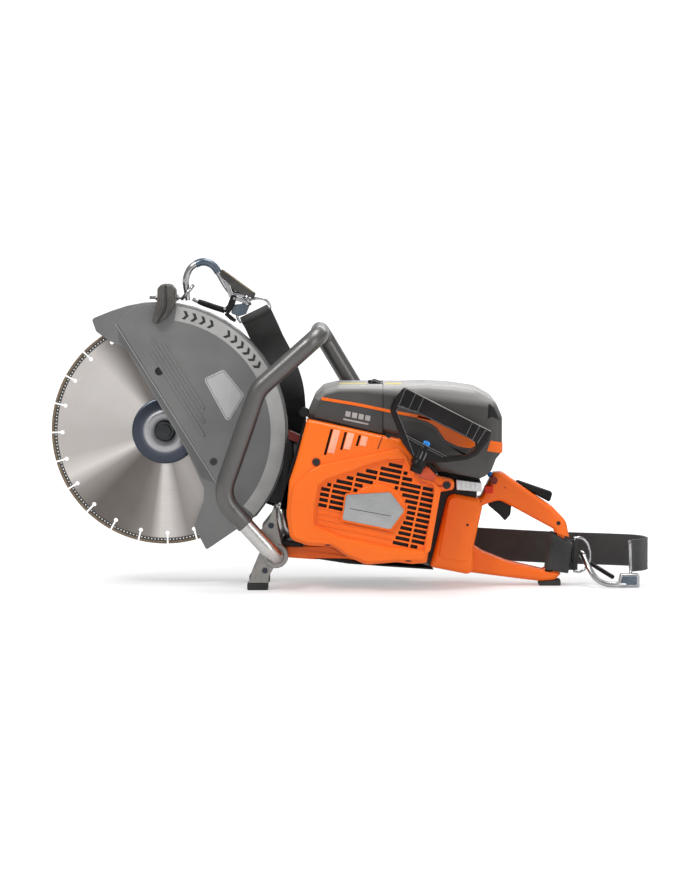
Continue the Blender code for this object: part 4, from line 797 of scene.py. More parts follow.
def make_studio():
    camera = bpy.data.objects.new("camera", bpy.data.cameras.new("camera"))
    SCENE.collection.objects.link(camera)
    SCENE.camera = camera
    camera.data.lens = 134.2
    camera.data.sensor_width = 36.0
    camera.data.clip_start = 0.1
    camera.location = (-0.0023, -4.988, 0.582)
    aim = Vector((-0.0023, 0.0, 0.2329)) - camera.location
    camera.rotation_euler = aim.to_track_quat("-Z", "Y").to_euler()

    floor = bmesh.new()
    bmesh.ops.create_grid(floor, x_segments=1, y_segments=1, size=40)
    pale = Graph("pale_floor")
    tone = pale.ramp(pale.noise(3, 3), [(0.3, (0.52, 0.52, 0.52)), (0.7, (0.54, 0.54, 0.54))])
    split = pale.split()
    x, y = (pale.math("MULTIPLY", split[axis], split[axis]) for axis in "XY")
    glow = pale.span(pale.math("SQRT", pale.math("ADD", x, y)), 0.4, 0.85, 0.55, 3.0)
    seen = pale.add("LightPath").outputs["Is Camera Ray"]
    glow = pale.math("MULTIPLY", glow, pale.span(seen, 0.55, 1.0))
    look = pale.set(Base_Color=tone, Roughness=0.85, Emission_Color=(1, 1, 1, 1), Emission_Strength=glow)
    piece("floor", floor, look, None)

    world = bpy.data.worlds.new("studio")
    SCENE.world = world
    world.use_nodes = True
    nodes, links = world.node_tree.nodes, world.node_tree.links
    height = nodes.new("ShaderNodeSeparateXYZ")
    links.new(nodes.new("ShaderNodeTexCoord").outputs["Generated"], height.inputs[0])
    sky = nodes.new("ShaderNodeValToRGB")
    links.new(height.outputs["Z"], sky.inputs[0])
    elements = sky.color_ramp.elements
    elements = (*elements, *(elements.new(at) for at in (0.4, 0.5)))
    for element, (position, tone) in zip(elements, SKY):
        element.position = position
        element.color = (tone, tone, tone, 1.0)
    camera_ray = nodes.new("ShaderNodeLightPath").outputs["Is Camera Ray"]
    shown = nodes.new("ShaderNodeMixRGB")
    shown.inputs["Color2"].default_value = (1.02, 1.02, 1.02, 1.0)
    links.new(camera_ray, shown.inputs["Fac"])
    links.new(sky.outputs["Color"], shown.inputs["Color1"])
    links.new(shown.outputs["Color"], nodes["Background"].inputs["Color"])
    seen = nodes.new("ShaderNodeMapRange")
    links.new(camera_ray, seen.inputs["Value"])
    seen.inputs["To Min"].default_value = 0.78
    links.new(seen.outputs["Result"], nodes["Background"].inputs["Strength"])

    for name, place, size, power in LIGHTS:
        lamp = bpy.data.lights.new(name, "AREA")
        lamp.shape = "RECTANGLE"
        lamp.size, lamp.size_y = size
        lamp.energy = power
        obj = bpy.data.objects.new(name, lamp)
        SCENE.collection.objects.link(obj)
        obj.location = place
        obj.rotation_euler = (Vector((0, 0, 0.2)) - obj.location).to_track_quat("-Z", "Y").to_euler()


SKY = ((0.0, 1.02), (1.0, 0.3), (0.09, 1.0), (0.17, 0.32))
LIGHTS = [
    ("key", (-1.5, -1.7, 2.5), (0.9, 0.9), 48), ("fill", (2.2, -2.4, 1.2), (1.2, 1.6), 20),
    ("top", (0.3, 0.1, 2.6), (1.6, 0.9), 34), ("rim", (0.8, 2.4, 1.6), (2.0, 0.8), 18),
]
SCENE.view_settings.view_transform = "Standard"
make_studio()

# --- Blade and flanges --------------------------------------------------------------------------------

BLADE_NEAR = -0.0066
BLADE_FAR = -0.0034
BORE = 0.0127  # the radius of the hole in its middle
STEEL_EDGE = 0.1716  # where the steel disc ends, under the foot of the rim
RIM = (0.1714, 0.1751)  # the radii of the diamond rim
SLOT_EYE_AT = 0.175 - 0.0165
SLOT_EYE = 0.0032
SEGMENTS = 24
FIRST_SLOT = 1  # degrees
RIM_GAP = 0.44  # degrees on each side of a slot
SEGMENT_HOLES = 8
HOLES_AT = 0.1687


def blade_outline(radius):
    """The disc's edge at this radius, with a keyhole slot between each two segments."""
    outline = []
    pitch = 360 / SEGMENTS
    half_slot = 0.0013
    for segment in range(SEGMENTS):
        middle = segment * pitch + FIRST_SLOT
        direction = Vector((cos(radians(middle)), sin(radians(middle))))
        across = Vector((-direction.y, direction.x))
        slot_angle = half_slot / radius * 180 / pi
        outline += arc((0, 0), radius, middle - pitch + slot_angle, middle - slot_angle, 8)
        for step in range(13):
            turn = radians(-24 - 312 * step / 12)
            out = SLOT_EYE_AT + SLOT_EYE * cos(turn)
            outline.append(tuple(direction * out + across * SLOT_EYE * sin(turn)))
    return [(SPINDLE[0] + x, SPINDLE[1] + z) for x, z in outline]


def make_blade():
    holes = [circle(SPINDLE, BORE, 48)]
    rim_cells = []
    pitch = 360 / SEGMENTS
    for segment in range(SEGMENTS):
        start = segment * pitch + FIRST_SLOT + RIM_GAP
        end = start + pitch - 2 * RIM_GAP
        for hole in range(SEGMENT_HOLES):
            angle = start + (end - start) * (hole + 0.5) / SEGMENT_HOLES
            holes.append(circle(at_angle(SPINDLE, HOLES_AT, angle), 0.0009, 10))
        rim_cells.append(band(SPINDLE, *RIM, start, end, 10))
    plate(
        "blade_disc", [blade_outline(STEEL_EDGE)] + holes, BLADE_NEAR, BLADE_FAR, BLADE, "blade",
        ["cutting_blade"],
    )
    near = BLADE_NEAR - 0.0003
    far = BLADE_FAR + 0.0003
    slabs("blade_diamond_rim", rim_cells, near, far, GRIT, "blade", edge=0.0004, steps=2)
    at = (SPINDLE[0], 0, SPINDLE[1])
    face = [
        (0.0053, near), (0.051, near), (0.051, near - 0.0022), (0.05, near - 0.0031), (0.046, near - 0.0042),
        (0.034, near - 0.0052), (0.031, near - 0.006), (0.0285, near - 0.0075), (0.0255, near - 0.0078),
        (0.0205, near - 0.0074), (0.0165, near - 0.0058), (0.015, near - 0.0052), (0.0053, near - 0.0052),
    ]
    turned("flange_outer_fine", face, at, FLANGE, "blade", ["outer_flange"], sides=96)
    turned(
        "flange_inner_fine",
        [
            (0.0083, far), (0.051, far), (0.051, far + 0.0025), (0.05, far + 0.003), (0.02, far + 0.0055),
            (0.0083, far + 0.0055),
        ], at, FLANGE, "blade", ["inner_flange"], sides=96,
    )
    head = near - 0.0078
    washer = [
        (0.005, head + 0.0024), (0.0145, head + 0.0024), (0.0145, head + 0.0008), (0.0135, head),
        (0.005, head),
    ]
    bolt = bmesh.new()
    add_turned(bolt, washer, at, 64)
    add_slab(
        bolt, section_of([(*p, 0.0012) for p in circle(SPINDLE, 0.0106, 6)]), head - 0.0068, head,
        edge=0.001, far_edge=0,
    )
    add_turned(bolt, [(0, head), (0.005, head), (0.005, 0.014), (0, 0.014)], at, 32)
    piece("blade_bolt_fine", bolt, BOLT, "blade", ["arbor_bolt"])


# --- Guard, its knob and its eye ----------------------------------------------------------------------

GUARD_CENTRE = (-0.297, 0.2385)
PANEL_FACE = -0.0314
EYE_ROD = (0, -0.005, 0.4445)  # a point of the line along X that the eye's threaded rod lies on


def make_guard():
    refined("blade_guard", CASTING, 0.0016, segments=3, limit=30)
    shaded = mm(
        (-359.2, 405), (-356, 377), (-340.5, 362), (-324.5, 337.5), (-307, 306), (-279, 260), (-251, 210.5),
        (-230, 168), (-206.8, 159),
    )
    # The band left of the crease is darker: painted shade on the face that turns from the light.
    slab("guard_crease_band", shaded, -0.0302, -0.0298, CASTING_SHADE, "guard", edge=0.0002, far_edge=0)
    crease = mm((-189, 138, 10), (-204.5, 159, 10), (-359.5, 406.5, 2))
    panel = [(-0.35, 0.418, 0)] + arc(GUARD_CENTRE, 0.1968, 100, -40.5, 60) + crease
    slab("guard_panel", panel, PANEL_FACE, -0.0299, CASTING, "guard", edge=0.0009, far_edge=0)
    # A pale metal line along the crease: a painted highlight on its edge.
    crease_highlight = mm((-206.2, 157), (-361.2, 404.5))
    slab(
        "guard_crease_line", stripe(crease_highlight, 0.0008), -0.0304, -0.0299, ALUMINIUM_DULL, "guard", edge=0.0002,
        far_edge=0,
    )
    top = Vector((-0.3595, 0.4065))
    low = Vector((-0.2045, 0.159))
    along = (low - top).normalized()
    across = Vector((-along.y, along.x))
    ribs = ((0.021, 0.1, 0.62), (0.032, 0.06, 0.56), (0.043, 0.1, 0.5))
    for number, (shift, start, end) in enumerate(ribs, start=1):
        a, b = (top + (low - top) * (share + 0.12) + across * shift for share in (start, end))
        slab(
            f"guard_rib_{number}", belt_line(a, 0.0024, b, 0.00239, 8), PANEL_FACE - 0.0018,
            PANEL_FACE + 0.0002, CASTING, "guard", edge=0.0014, far_edge=0, steps=3,
        )
    strip_face = PANEL_FACE - 0.0003
    slab(
        "guard_reflective_strip", band(GUARD_CENTRE, 0.1732, 0.1955, 81.3, -41.0, 90), strip_face,
        PANEL_FACE + 0.0001, FILM, "guard", edge=0.0001, far_edge=0, steps=1,
    )
    lead, thick = 1.5, 1.55  # degrees
    chevrons = []
    for angle in [76.5 - 4.3 * i for i in range(4)] + [54.3 - 4.1 * i for i in range(6)]:
        corners = (
            (0.1778, angle + lead), (0.1778, angle + lead - thick), (0.1843, angle - thick),
            (0.1908, angle + lead - thick), (0.1908, angle + lead), (0.1843, angle),
        )
        chevrons.append([at_angle(GUARD_CENTRE, *corner) for corner in corners])
    slabs("guard_chevrons", chevrons, strip_face - 0.0002, strip_face + 0.0001, INK, "guard")
    label = mm((-226.8, 320.5, 5), (-195.5, 335, 5), (-164, 296, 5), (-189.5, 252, 5))
    slab(
        "guard_blank_label", label, PANEL_FACE - 0.0006, PANEL_FACE, ALUMINIUM_DULL, "guard", edge=0.0003,
        far_edge=0,
    )
    corners = [corner[:2] for corner in label]
    plate(
        "guard_label_border", [soft(corners, 0.002, 0.003), soft(corners, 0.0025, 0.003)],
        PANEL_FACE - 0.0008, PANEL_FACE - 0.0005, INK, "guard",
    )
    hole = (-0.2948, 0.3322)
    # A dark plug in the guard's hole: painted shade.
    turned("guard_hole_shade", plug(0.0048, -0.032, -0.03), (hole[0], 0, hole[1]), JOINT_AND_HOLLOW_SHADE, "guard")
    plate(
        "guard_hole_ring", [circle(hole, 0.0061, 40), circle(hole, 0.0048, 40)], -0.0327, -0.03, BLACK,
        "guard", edge=0.0003,
    )
    screw("guard_screw", -0.212, 0.1937, -0.0312, 0.0058, ENGINE, "guard")
    turned(
        "guard_neck_flange", mm((26.8, 22.5), (46, 22.5), (46, 24.2), (44, 25.2), (26.8, 25.2)),
        (SPINDLE[0], 0, SPINDLE[1]), ARM_PAINT, "guard", sides=64,
    )
    bolt = mm((0, 25), (4, 25), (4, 28), (3, 28.8), (0, 28.8))
    for number, angle in enumerate((125, 170, 215, 260, 305), start=3):
        x, z = at_angle(SPINDLE, 0.0385, angle)
        turned(f"guard_hub_bolt_{number}", bolt, (x, 0, z), PLATE_STEEL, "guard", sides=24)

    refined("guard_knob", KNOB, 0.003, segments=4, limit=30)
    spine = smooth_path(
        mm(
            (-283.6, -41.8, 464), (-283.4, -42.8, 450), (-283.8, -43, 433), (-289, -42.8, 420),
            (-296.5, -41.8, 407.5),
        ), 6,
    )
    tube("knob_ridge", spine, 0.002, RUBBER, "guard", sides=14)
    for number, (dx, dz) in enumerate(((-0.0075, 0.0), (0.0072, 0.003)), start=1):
        flank = [point + Vector((dx, 0.0004, dz)) for point in spine[2:-6]]
        tube(f"knob_flank_{number}", flank, 0.0016, KNOB, "guard", sides=12)

    eye = bmesh.new()
    middle = Vector((-0.2515, -0.005, 0.4525))
    radius = 0.0135
    lean = (cos(radians(50)), sin(radians(50)))
    loop = []
    for step in range(40):
        angle = 2 * pi * step / 40
        out = radius * cos(angle)
        loop.append(middle + Vector((out * lean[0], radius * sin(angle), out * lean[1])))
    add_tube(eye, loop, 0.0026, 16, closed=True, across=Vector((-lean[1], 0, lean[0])))
    stem = smooth_path(
        mm((-310.5, -5, 444.5), (-290, -5, 444.5), (-270, -5, 444.5), (-262, -5, 444), (-259.2, -5, 442.5)),
        6,
    )
    add_tube(eye, stem, 0.0024, 16)
    piece("guard_eye_fine", eye, CHROME, "guard", ["guard_eye"])
    nuts = bmesh.new()
    for x0, x1 in ((-0.3012, -0.2975), (-0.2682, -0.2652)):
        add_turned(nuts, plug(0.0052, x0, x1, 0.0024), EYE_ROD, 6, axis=(1, 0, 0))
    piece("guard_eye_nuts", nuts, PLATE_STEEL, "guard")
    threads = bmesh.new()
    for turn in range(9):
        x = -0.31 + turn * 0.00095
        add_turned(
            threads, [(0.002, x), (0.0029, x + 0.0003), (0.002, x + 0.0006)], EYE_ROD, 20, axis=(1, 0, 0),
        )
    piece("guard_eye_threads", threads, PLATE_STEEL, "guard")


# --- Front snap hook ----------------------------------------------------------------------------------


HOOK_LEAN = Vector((0.897, 0, 0.442))


def make_front_hook():
    y = -0.005
    line = smooth_path([
        (-0.2515, y, 0.44), (-0.2535, y, 0.456), (-0.2545, y, 0.472), (-0.248, y, 0.4885),
        (-0.236, y, 0.497), (-0.2247, y, 0.4988), (-0.2125, y, 0.4935), (-0.2035, y, 0.481),
        (-0.193, y, 0.463), (-0.182, y, 0.45), (-0.172, y, 0.448), (-0.1628, y, 0.4482),
    ], 8)
    radii = [0.0038 + 0.0014 * min(1.0, i / 14) for i in range(len(line))]
    hook = bmesh.new()
    add_tube(hook, line, radii, 20, across=Vector((0, 1, 0)), squash=1.15)
    eye = Vector((-0.1593, y, 0.4413))
    ring = [
        eye + Vector((0.0078 * cos(t) * 0.442, 0.0078 * sin(t), -0.0078 * cos(t) * 0.897))
        for t in [2 * pi * i / 32 for i in range(32)]
    ]
    add_tube(hook, ring, 0.0025, 14, closed=True, across=HOOK_LEAN)
    piece("front_hook_wire", hook, CHROME, "guard", ["front_hook"])
    tube(
        "front_hook_trigger", line[30:56], 0.006, BLUED, "guard", sides=20, across=Vector((0, 1, 0)),
        squash=1.1,
    )
    sleeve = mm(
        (-198.5, 488.5, 2), (-147, 451, 3), (-150, 443, 3), (-164, 447, 4), (-183, 457, 4), (-203, 480, 2),
    )
    slab("front_hook_sleeve", sleeve, y - 0.0066, y + 0.0066, SLEEVE, "guard", edge=0.0012)
    slab(
        "front_hook_sleeve_edge", stripe(mm((-197.5, 486.8), (-150, 452.2)), 0.0012), y - 0.0069, y - 0.0064,
        BRASS, "guard", edge=0.0002, far_edge=0,
    )
    crescent = mm(
        (-199.2, 478, 2), (-186, 464, 6), (-180, 448, 4), (-169, 445, 4), (-156, 438.5, 2), (-160, 434.5, 2),
        (-176, 439.5, 6), (-188, 445, 6), (-192.5, 460, 8),
    )
    slab("front_hook_body", crescent, y - 0.0072, y + 0.0072, CHROME, "guard", edge=0.002)
    tongue = mm(
        (-183, 433, 2), (-168, 435, 4), (-156, 433, 2), (-162, 419, 3), (-173, 415.5, 3), (-185, 420, 3),
    )
    slab("front_hook_plate", tongue, y - 0.004, y + 0.004, BLUED, "guard", edge=0.0012)
    lever = mm(
        (-184.5, 449, 3), (-175.5, 448, 3), (-179.5, 433, 3), (-188, 419.5, 3), (-198.5, 423.5, 3),
        (-190, 434, 4),
    )
    slab("front_hook_lever", lever, y - 0.0086, y + 0.0086, BLACK, "guard", edge=0.0018)
    foot = mm((-199, 421.5, 2), (-189, 420, 2), (-177.2, 410.5, 2), (-178.5, 406.2, 2), (-186, 409.8, 2))
    slab("front_hook_heel", foot, y - 0.008, y + 0.008, BLACK, "guard", edge=0.0015)
    gate = smooth_path([(-0.1945, y, 0.4245), (-0.212, y, 0.43), (-0.236, y, 0.4385)], 6)
    tube(
        "front_gate_fine", gate, [0.0046] * 10 + [0.0045, 0.0042, 0.0036], BLACK, "front_gate",
        ["front_hook_gate"], sides=18,
    )
    tip = smooth_path([(-0.235, y, 0.438), (-0.24, y, 0.44), (-0.244, y, 0.4425)], 4)
    tube("front_gate_tip", tip, 0.003, CHROME, "front_gate", sides=16)
    rivets = bmesh.new()
    rivet = [
        (0, y - 0.0093), (0.0018, y - 0.0093), (0.0022, y - 0.0088), (0.0022, y + 0.0088), (0, y + 0.009),
    ]
    for x, z in ((-0.1945, 0.4275), (-0.18, 0.443)):
        add_turned(rivets, rivet, (x, 0, z), 24)
    piece("front_hook_rivets", rivets, CHROME, "guard")
    d_ring_fine(
        "front_ring_fine", Vector((-0.148, y, 0.418)), HOOK_LEAN, Vector((-0.442, 0, 0.897)), 0.024, "guard",
        ["front_ring"],
    )


def d_ring_fine(name, bar, across, outwards, depth, body, stands_for):
    """A D of wire: a straight bar, and a bow that reaches the depth away from it."""
    across, outwards = across.normalized(), outwards.normalized()
    half = 0.0265
    flat = [(-half, 0.0), (-half / 2, 0), (0, 0), (half / 2, 0), (half, 0.0)]
    bow = [(half * cos(pi * i / 30), 0.006 + (depth - 0.006) * sin(pi * i / 30)) for i in range(31)]
    path = [bar + across * a + outwards * b for a, b in flat + bow]
    tube(name, path, 0.0021, CHROME, body, stands_for, closed=True, across=across.cross(outwards), sides=16)


# --- Covers over the cylinder and the filter ----------------------------------------------------------

HALF_WIDTH = 0.086


def cut_off(built, point, outwards):
    """Cuts the bmesh with a plane, and closes it again."""
    geometry = built.verts[:] + built.edges[:] + built.faces[:]
    made = bmesh.ops.bisect_plane(built, geom=geometry, plane_co=point, plane_no=outwards, clear_outer=True)
    edges = [item for item in made["geom_cut"] if isinstance(item, bmesh.types.BMEdge)]
    bmesh.ops.contextual_create(built, geom=edges)


def make_covers():
    front = mm(
        (-68.5, 264.5, 2), (-56, 294.5, 8), (-43, 307.5, 12), (-20, 312.8, 20), (80, 312.8, 0),
        (80, 232.8, 0),
    )
    shell = slab_of(front, -HALF_WIDTH, HALF_WIDTH, edge=0.012, steps=7)
    cut_off(shell, (0.0475, 0, 0), (1, 0, 0))
    hollow = slab_of(
        mm((-65, 220), (-65, 265), (-53, 292), (-41, 304.5), (-19, 309.6), (75, 309.6), (75, 220)),
        -HALF_WIDTH + 0.003, HALF_WIDTH - 0.003, edge=0.01,
    )
    valve_hole = bmesh.new()
    add_turned(valve_hole, plug(0.0062, -0.03, 0.03), (0.0305, 0, 0.312), 32, axis=(0, 0, 1))
    carved("cylinder_cover_fine", shell, [hollow, valve_hole], COVER_TOP, "chassis", ["cylinder_cover"])

    rear = mm(
        (20, 246, 0), (20, 312.8, 0), (80, 312.5, 10), (114, 314, 10), (150, 311.5, 30), (190, 306, 30),
        (218, 290, 20), (229, 265, 20), (229, 212, 4), (220, 201, 6), (213, 183, 10), (196, 168, 4),
        (131, 180, 4), (120, 192.5, 8), (74.5, 233.5, 4),
    )
    shell = slab_of(rear, -HALF_WIDTH, HALF_WIDTH, edge=0.012, steps=7)
    cut_off(shell, (0.048, 0, 0), (-1, 0, 0))
    hollow = slab_of(
        mm(
            (20, 200), (20, 309.6), (114, 309.6), (148, 307.5), (188, 302), (215, 286), (225, 264),
            (225, 215), (215, 204), (208, 186), (198, 150), (133, 150), (124, 195), (78, 220),
        ), -HALF_WIDTH + 0.0035, HALF_WIDTH - 0.0035, edge=0.012,
    )
    vents = bmesh.new()
    notch = mm((208, 287.5, 1), (216, 280, 4), (225, 262, 2), (223.5, 258, 1), (211, 265, 2), (206, 261, 1))
    for near, far in ((-0.1, -0.083), (0.083, 0.1)):
        add_slab(vents, notch, near, far)
    carved("filter_cover_fine", shell, [hollow, vents], COVER_TOP, "chassis", ["filter_cover"])
    slab(
        "filter_vent_grille", mm((206.5, 286), (215, 279.5), (224, 261.5), (212, 266), (207.5, 263)),
        -0.0832, -0.0822, JOINT_AND_HOLLOW_SHADE,
    )

    # The lower, darker shell under the orange line, on each side.
    skirt = mm((-56.8, 265.5), (-48.5, 290), (-46, 293), (47, 273.8), (47, 240.2))
    line = smooth_path(
        mm((-45.5, 0, 293.5), (10, 0, 284.2), (56.9, 0, 274.5), (107.9, 0, 265), (120, 0, 261.8)), 6,
    )
    leaf = mm(
        (100, 269, 2), (123, 263.2, 10), (145.1, 251.8, 30), (184.6, 230.7, 10), (188.5, 222, 3),
        (180, 218, 10), (162, 221, 20), (142, 230, 20), (129, 250, 20), (114.9, 258.8, 10), (100, 263, 2),
    )
    cup = mm(
        (70, 261, 4), (108, 257, 10), (125, 246, 20), (139, 226, 30), (160, 217, 20), (188, 215, 6),
        (175, 206, 10), (130, 204, 20), (100, 211, 10), (78, 235, 4),
    )
    for side, tag in ((-1, "near"), (1, "far")):
        edges = {"edge": 0.0005, "far_edge": 0.0} if side < 0 else {"edge": 0.0, "far_edge": 0.0005}
        for name, outline, proud, look in (
            ("skirt", skirt, 0.0006, COVER),
            ("line", stripe([(p.x, p.z) for p in line], 0.0046), 0.0012, ORANGE),
            ("leaf", leaf, 0.0012, ORANGE), ("cup", cup, 0.0005, COVER),
        ):
            faces = sorted((side * (HALF_WIDTH - 0.001), side * (HALF_WIDTH + proud)))
            slab(f"cover_{name}_{tag}", outline, *faces, look, **edges)
    grown = [(0.13 + (x - 0.13) * 1.007, 0.25 + (z - 0.25) * 1.008, radius) for x, z, radius in rear]
    back_band = slab_of(grown, -HALF_WIDTH - 0.0006, HALF_WIDTH + 0.0006, edge=0.012, steps=7)
    rest = [
        slab_of(outline, -0.12, 0.12)
        for outline in (
            mm((0, 268.5), (211.3, 229.7), (260, 220.8), (260, 360), (0, 360)),
            mm((0, 247), (205.5, 213.8), (260, 205), (260, 100), (0, 100)),
            mm((171.2, 119.9), (245.6, 323.6), (0, 323.6), (0, 119.9)),
        )
    ]
    carved("cover_rear_band", back_band, rest, ORANGE)

    # Seam, catch, sticker and the name's place, left as plain bars.
    seam = bmesh.new()
    for y in (-HALF_WIDTH - 0.0004, HALF_WIDTH - 0.0026):
        add_box(seam, (0.04715, y, 0.24), (0.04835, y + 0.003, 0.3012))
    add_box(seam, (0.04715, -0.074, 0.31), (0.04835, 0.074, 0.3132))
    piece("cover_seam", seam, JOINT_AND_HOLLOW_SHADE)
    catch = mm(
        (24.5, 312, 1), (35, 317.5, 2), (39.5, 316, 2), (48, 313, 1), (48, 311.5, 0), (24.5, 311.5, 0),
    )
    for name, near, far in (("cover_catch", -0.03, -0.012), ("cover_catch_far", 0.02, 0.038)):
        slab(name, catch, near, far, BLACK, edge=0.001)
    sticker = bmesh.new()
    add_box(sticker, (-0.018, -0.04, 0.312), (0.022, -0.008, 0.313))
    add_box(sticker, (0.052, -0.04, 0.312), (0.076, -0.008, 0.313))
    piece("cover_sticker", sticker, YELLOW)
    bars = []
    for i in range(4):
        x, z = -0.0085 + i * 0.01, 0.2748 - i * 0.00205
        bars.append([(x, z), (x + 0.0075, z - 0.0016), (x + 0.0062, z - 0.0095), (x - 0.0013, z - 0.0079)])
    bars.append(stripe(mm((-12.5, 262.5), (25.5, 254.5)), 0.0024))
    slabs("cover_plain_bars", bars, -HALF_WIDTH - 0.0008, -HALF_WIDTH, FILM, edge=0.0001, steps=1)
    knob = mm((0, -100), (6.2, -100), (7.5, -98.5), (7.5, -90), (5, -88), (5, -80), (0, -80))
    turned("front_purge_knob", knob, (-0.0715, 0, 0.2735), BLACK, sides=32)
    valve = mm((0, 5.2), (4.2, 5.2), (5.3, 4.2), (5.5, -12), (0, -12))
    turned(
        "valve_button_fine", valve, (0.0305, 0, 0.312), BLACK, "valve", ["decompression_valve"], sides=32,
        axis=(0, 0, 1),
    )


# --- Starter cover ------------------------------------------------------------------------------------

STARTER_OUTLINE = mm(
    (-67.2, 263.5, 4), (-84, 200, 20), (-94.5, 169, 30), (-99, 118, 30), (-93, 80, 14), (-66, 71, 20),
    (-29, 69, 15), (-7, 54.5, 20), (22, 41.5, 20), (68, 45.5, 30), (92, 42.8, 20), (114, 44.5, 4),
    (132, 152, 6), (155, 156, 6), (156, 170, 6), (131, 175.5, 6), (115, 189, 10), (74, 232.2, 6),
)
CRANK = (0.04, 0.123)
TILT = radians(12)
STARTER_FACE = -0.105
FIELD_FACE = -0.102
FIELD = mm(
    (-55.6, 103), (-54, 131.2), (-48.5, 162), (-37.1, 170.5), (31.2, 194.5), (52, 200.5), (80, 201.5),
    (83.5, 191), (98.4, 170.7), (122, 165), (131, 156), (115, 64), (60, 69.5), (-15, 85),
)
COLUMNS = mm((-92.5, -77.5), (-74.5, -46.5), (-43.3, -12.7), (-9.5, 22.5), (25.5, 56), (59, 79))


def inside(point, outline):
    x, z = point
    within = False
    for (ax, az), (bx, bz) in zip(outline, outline[1:] + outline[:1]):
        if (az > z) != (bz > z) and x < (bx - ax) * (z - az) / (bz - az) + ax:
            within = not within
    return within


def louvre_place(u, v):
    return (CRANK[0] + u * cos(TILT) + v * sin(TILT), CRANK[1] - u * sin(TILT) + v * cos(TILT))


LOUVRE_PITCH = 0.0082
SHORTEST_LOUVRE = 0.005


def louvre_fits(u, v, margin):
    """Whether a louvre may pass (u, v): inside the field, and clear of the name plate and of the hub."""
    if not (inside(louvre_place(u, v), margin) and inside(louvre_place(u, v + 0.003), margin)):
        return False
    if u < COLUMNS[4][0] and v <= -0.011:
        return False
    if v > 0.0053 or u < 0:
        return (u * u + v * v) ** 0.5 > 0.044
    return u > 0.0444 - (0.0053 - v) * 0.29


def make_starter_cover():
    shell = slab_of(STARTER_OUTLINE, STARTER_FACE, -0.058, edge=0.0075, far_edge=0, steps=6)
    hollow = slab_of(section_of(STARTER_OUTLINE, 0.0035), -0.098, -0.05)
    field = slab_of(soft(FIELD, 0.0005, 0.006), -0.12, FIELD_FACE)
    louvres = bmesh.new()
    margin = inset(FIELD, 0.0028)
    steps = 24
    for row in range(-7, 10):
        v = row * LOUVRE_PITCH
        for low, high in COLUMNS:
            places = [low + (high - low) * step / steps for step in range(steps + 1)]
            run = [u for u in places if louvre_fits(u, v, margin)]
            if run and run[-1] - run[0] > SHORTEST_LOUVRE:
                add_box(
                    louvres, (CRANK[0] + run[0], -0.12, CRANK[1] + (v - 0.0028)),
                    (CRANK[0] + run[-1], -0.09, CRANK[1] + (v + 0.0028)),
                )
    turn = Matrix.Translation((CRANK[0], 0, CRANK[1])) @ Matrix.Rotation(TILT, 4, "Y") @ Matrix.Translation(
        (-CRANK[0], 0, -CRANK[1])
    )
    bmesh.ops.transform(louvres, matrix=turn, verts=louvres.verts)
    for outline in SLOTS:
        add_slab(louvres, outline, -0.12, -0.09)
    for x, z, radius in STARTER_HOLES:
        add_slab(louvres, circle((x, z), radius, 24), -0.12, -0.1015)
    carved(
        "starter_cover_fine", shell, [hollow, field, louvres], ORANGE, stands_for=["starter_cover"],
        smooth=32,
    )
    turned("starter_reel_post", plug(0.0075, -0.103, -0.0805), (CRANK[0], 0, CRANK[1]), ORANGE)


SLOTS = [
    mm((-31.6, 248.8), (-27.8, 248.2), (-38.4, 208.8), (-42.1, 209.4)),
    mm((-10.4, 244.2), (-6.7, 243.6), (-14, 216.4), (-17.6, 217)),
    mm((11, 239.6), (14.6, 239), (9.6, 222.4), (6.1, 223)),
]
PALE_BARS = [
    mm((-26.8, 248.1), (-16.9, 246.4), (-26.2, 211.3), (-36.6, 213.1)),
    mm((-5.7, 243.4), (4.4, 241.5), (-2.4, 217.1), (-12.4, 219)),
    mm((15.7, 238.7), (25, 236.4), (21.4, 222.3), (11.8, 224)),
]
STARTER_HOLES = mm((135, 162.5, 2.1), (136.8, 172.2, 1.6), (24.3, 80, 1.7), (129.6, 162.2, 2.4))
RIDGE = mm(
    (-75, 174), (-63.7, 186), (-47.5, 195), (41.6, 213.5), (64, 219), (74, 219), (84.4, 208.5), (93, 190),
    (99, 181),
)


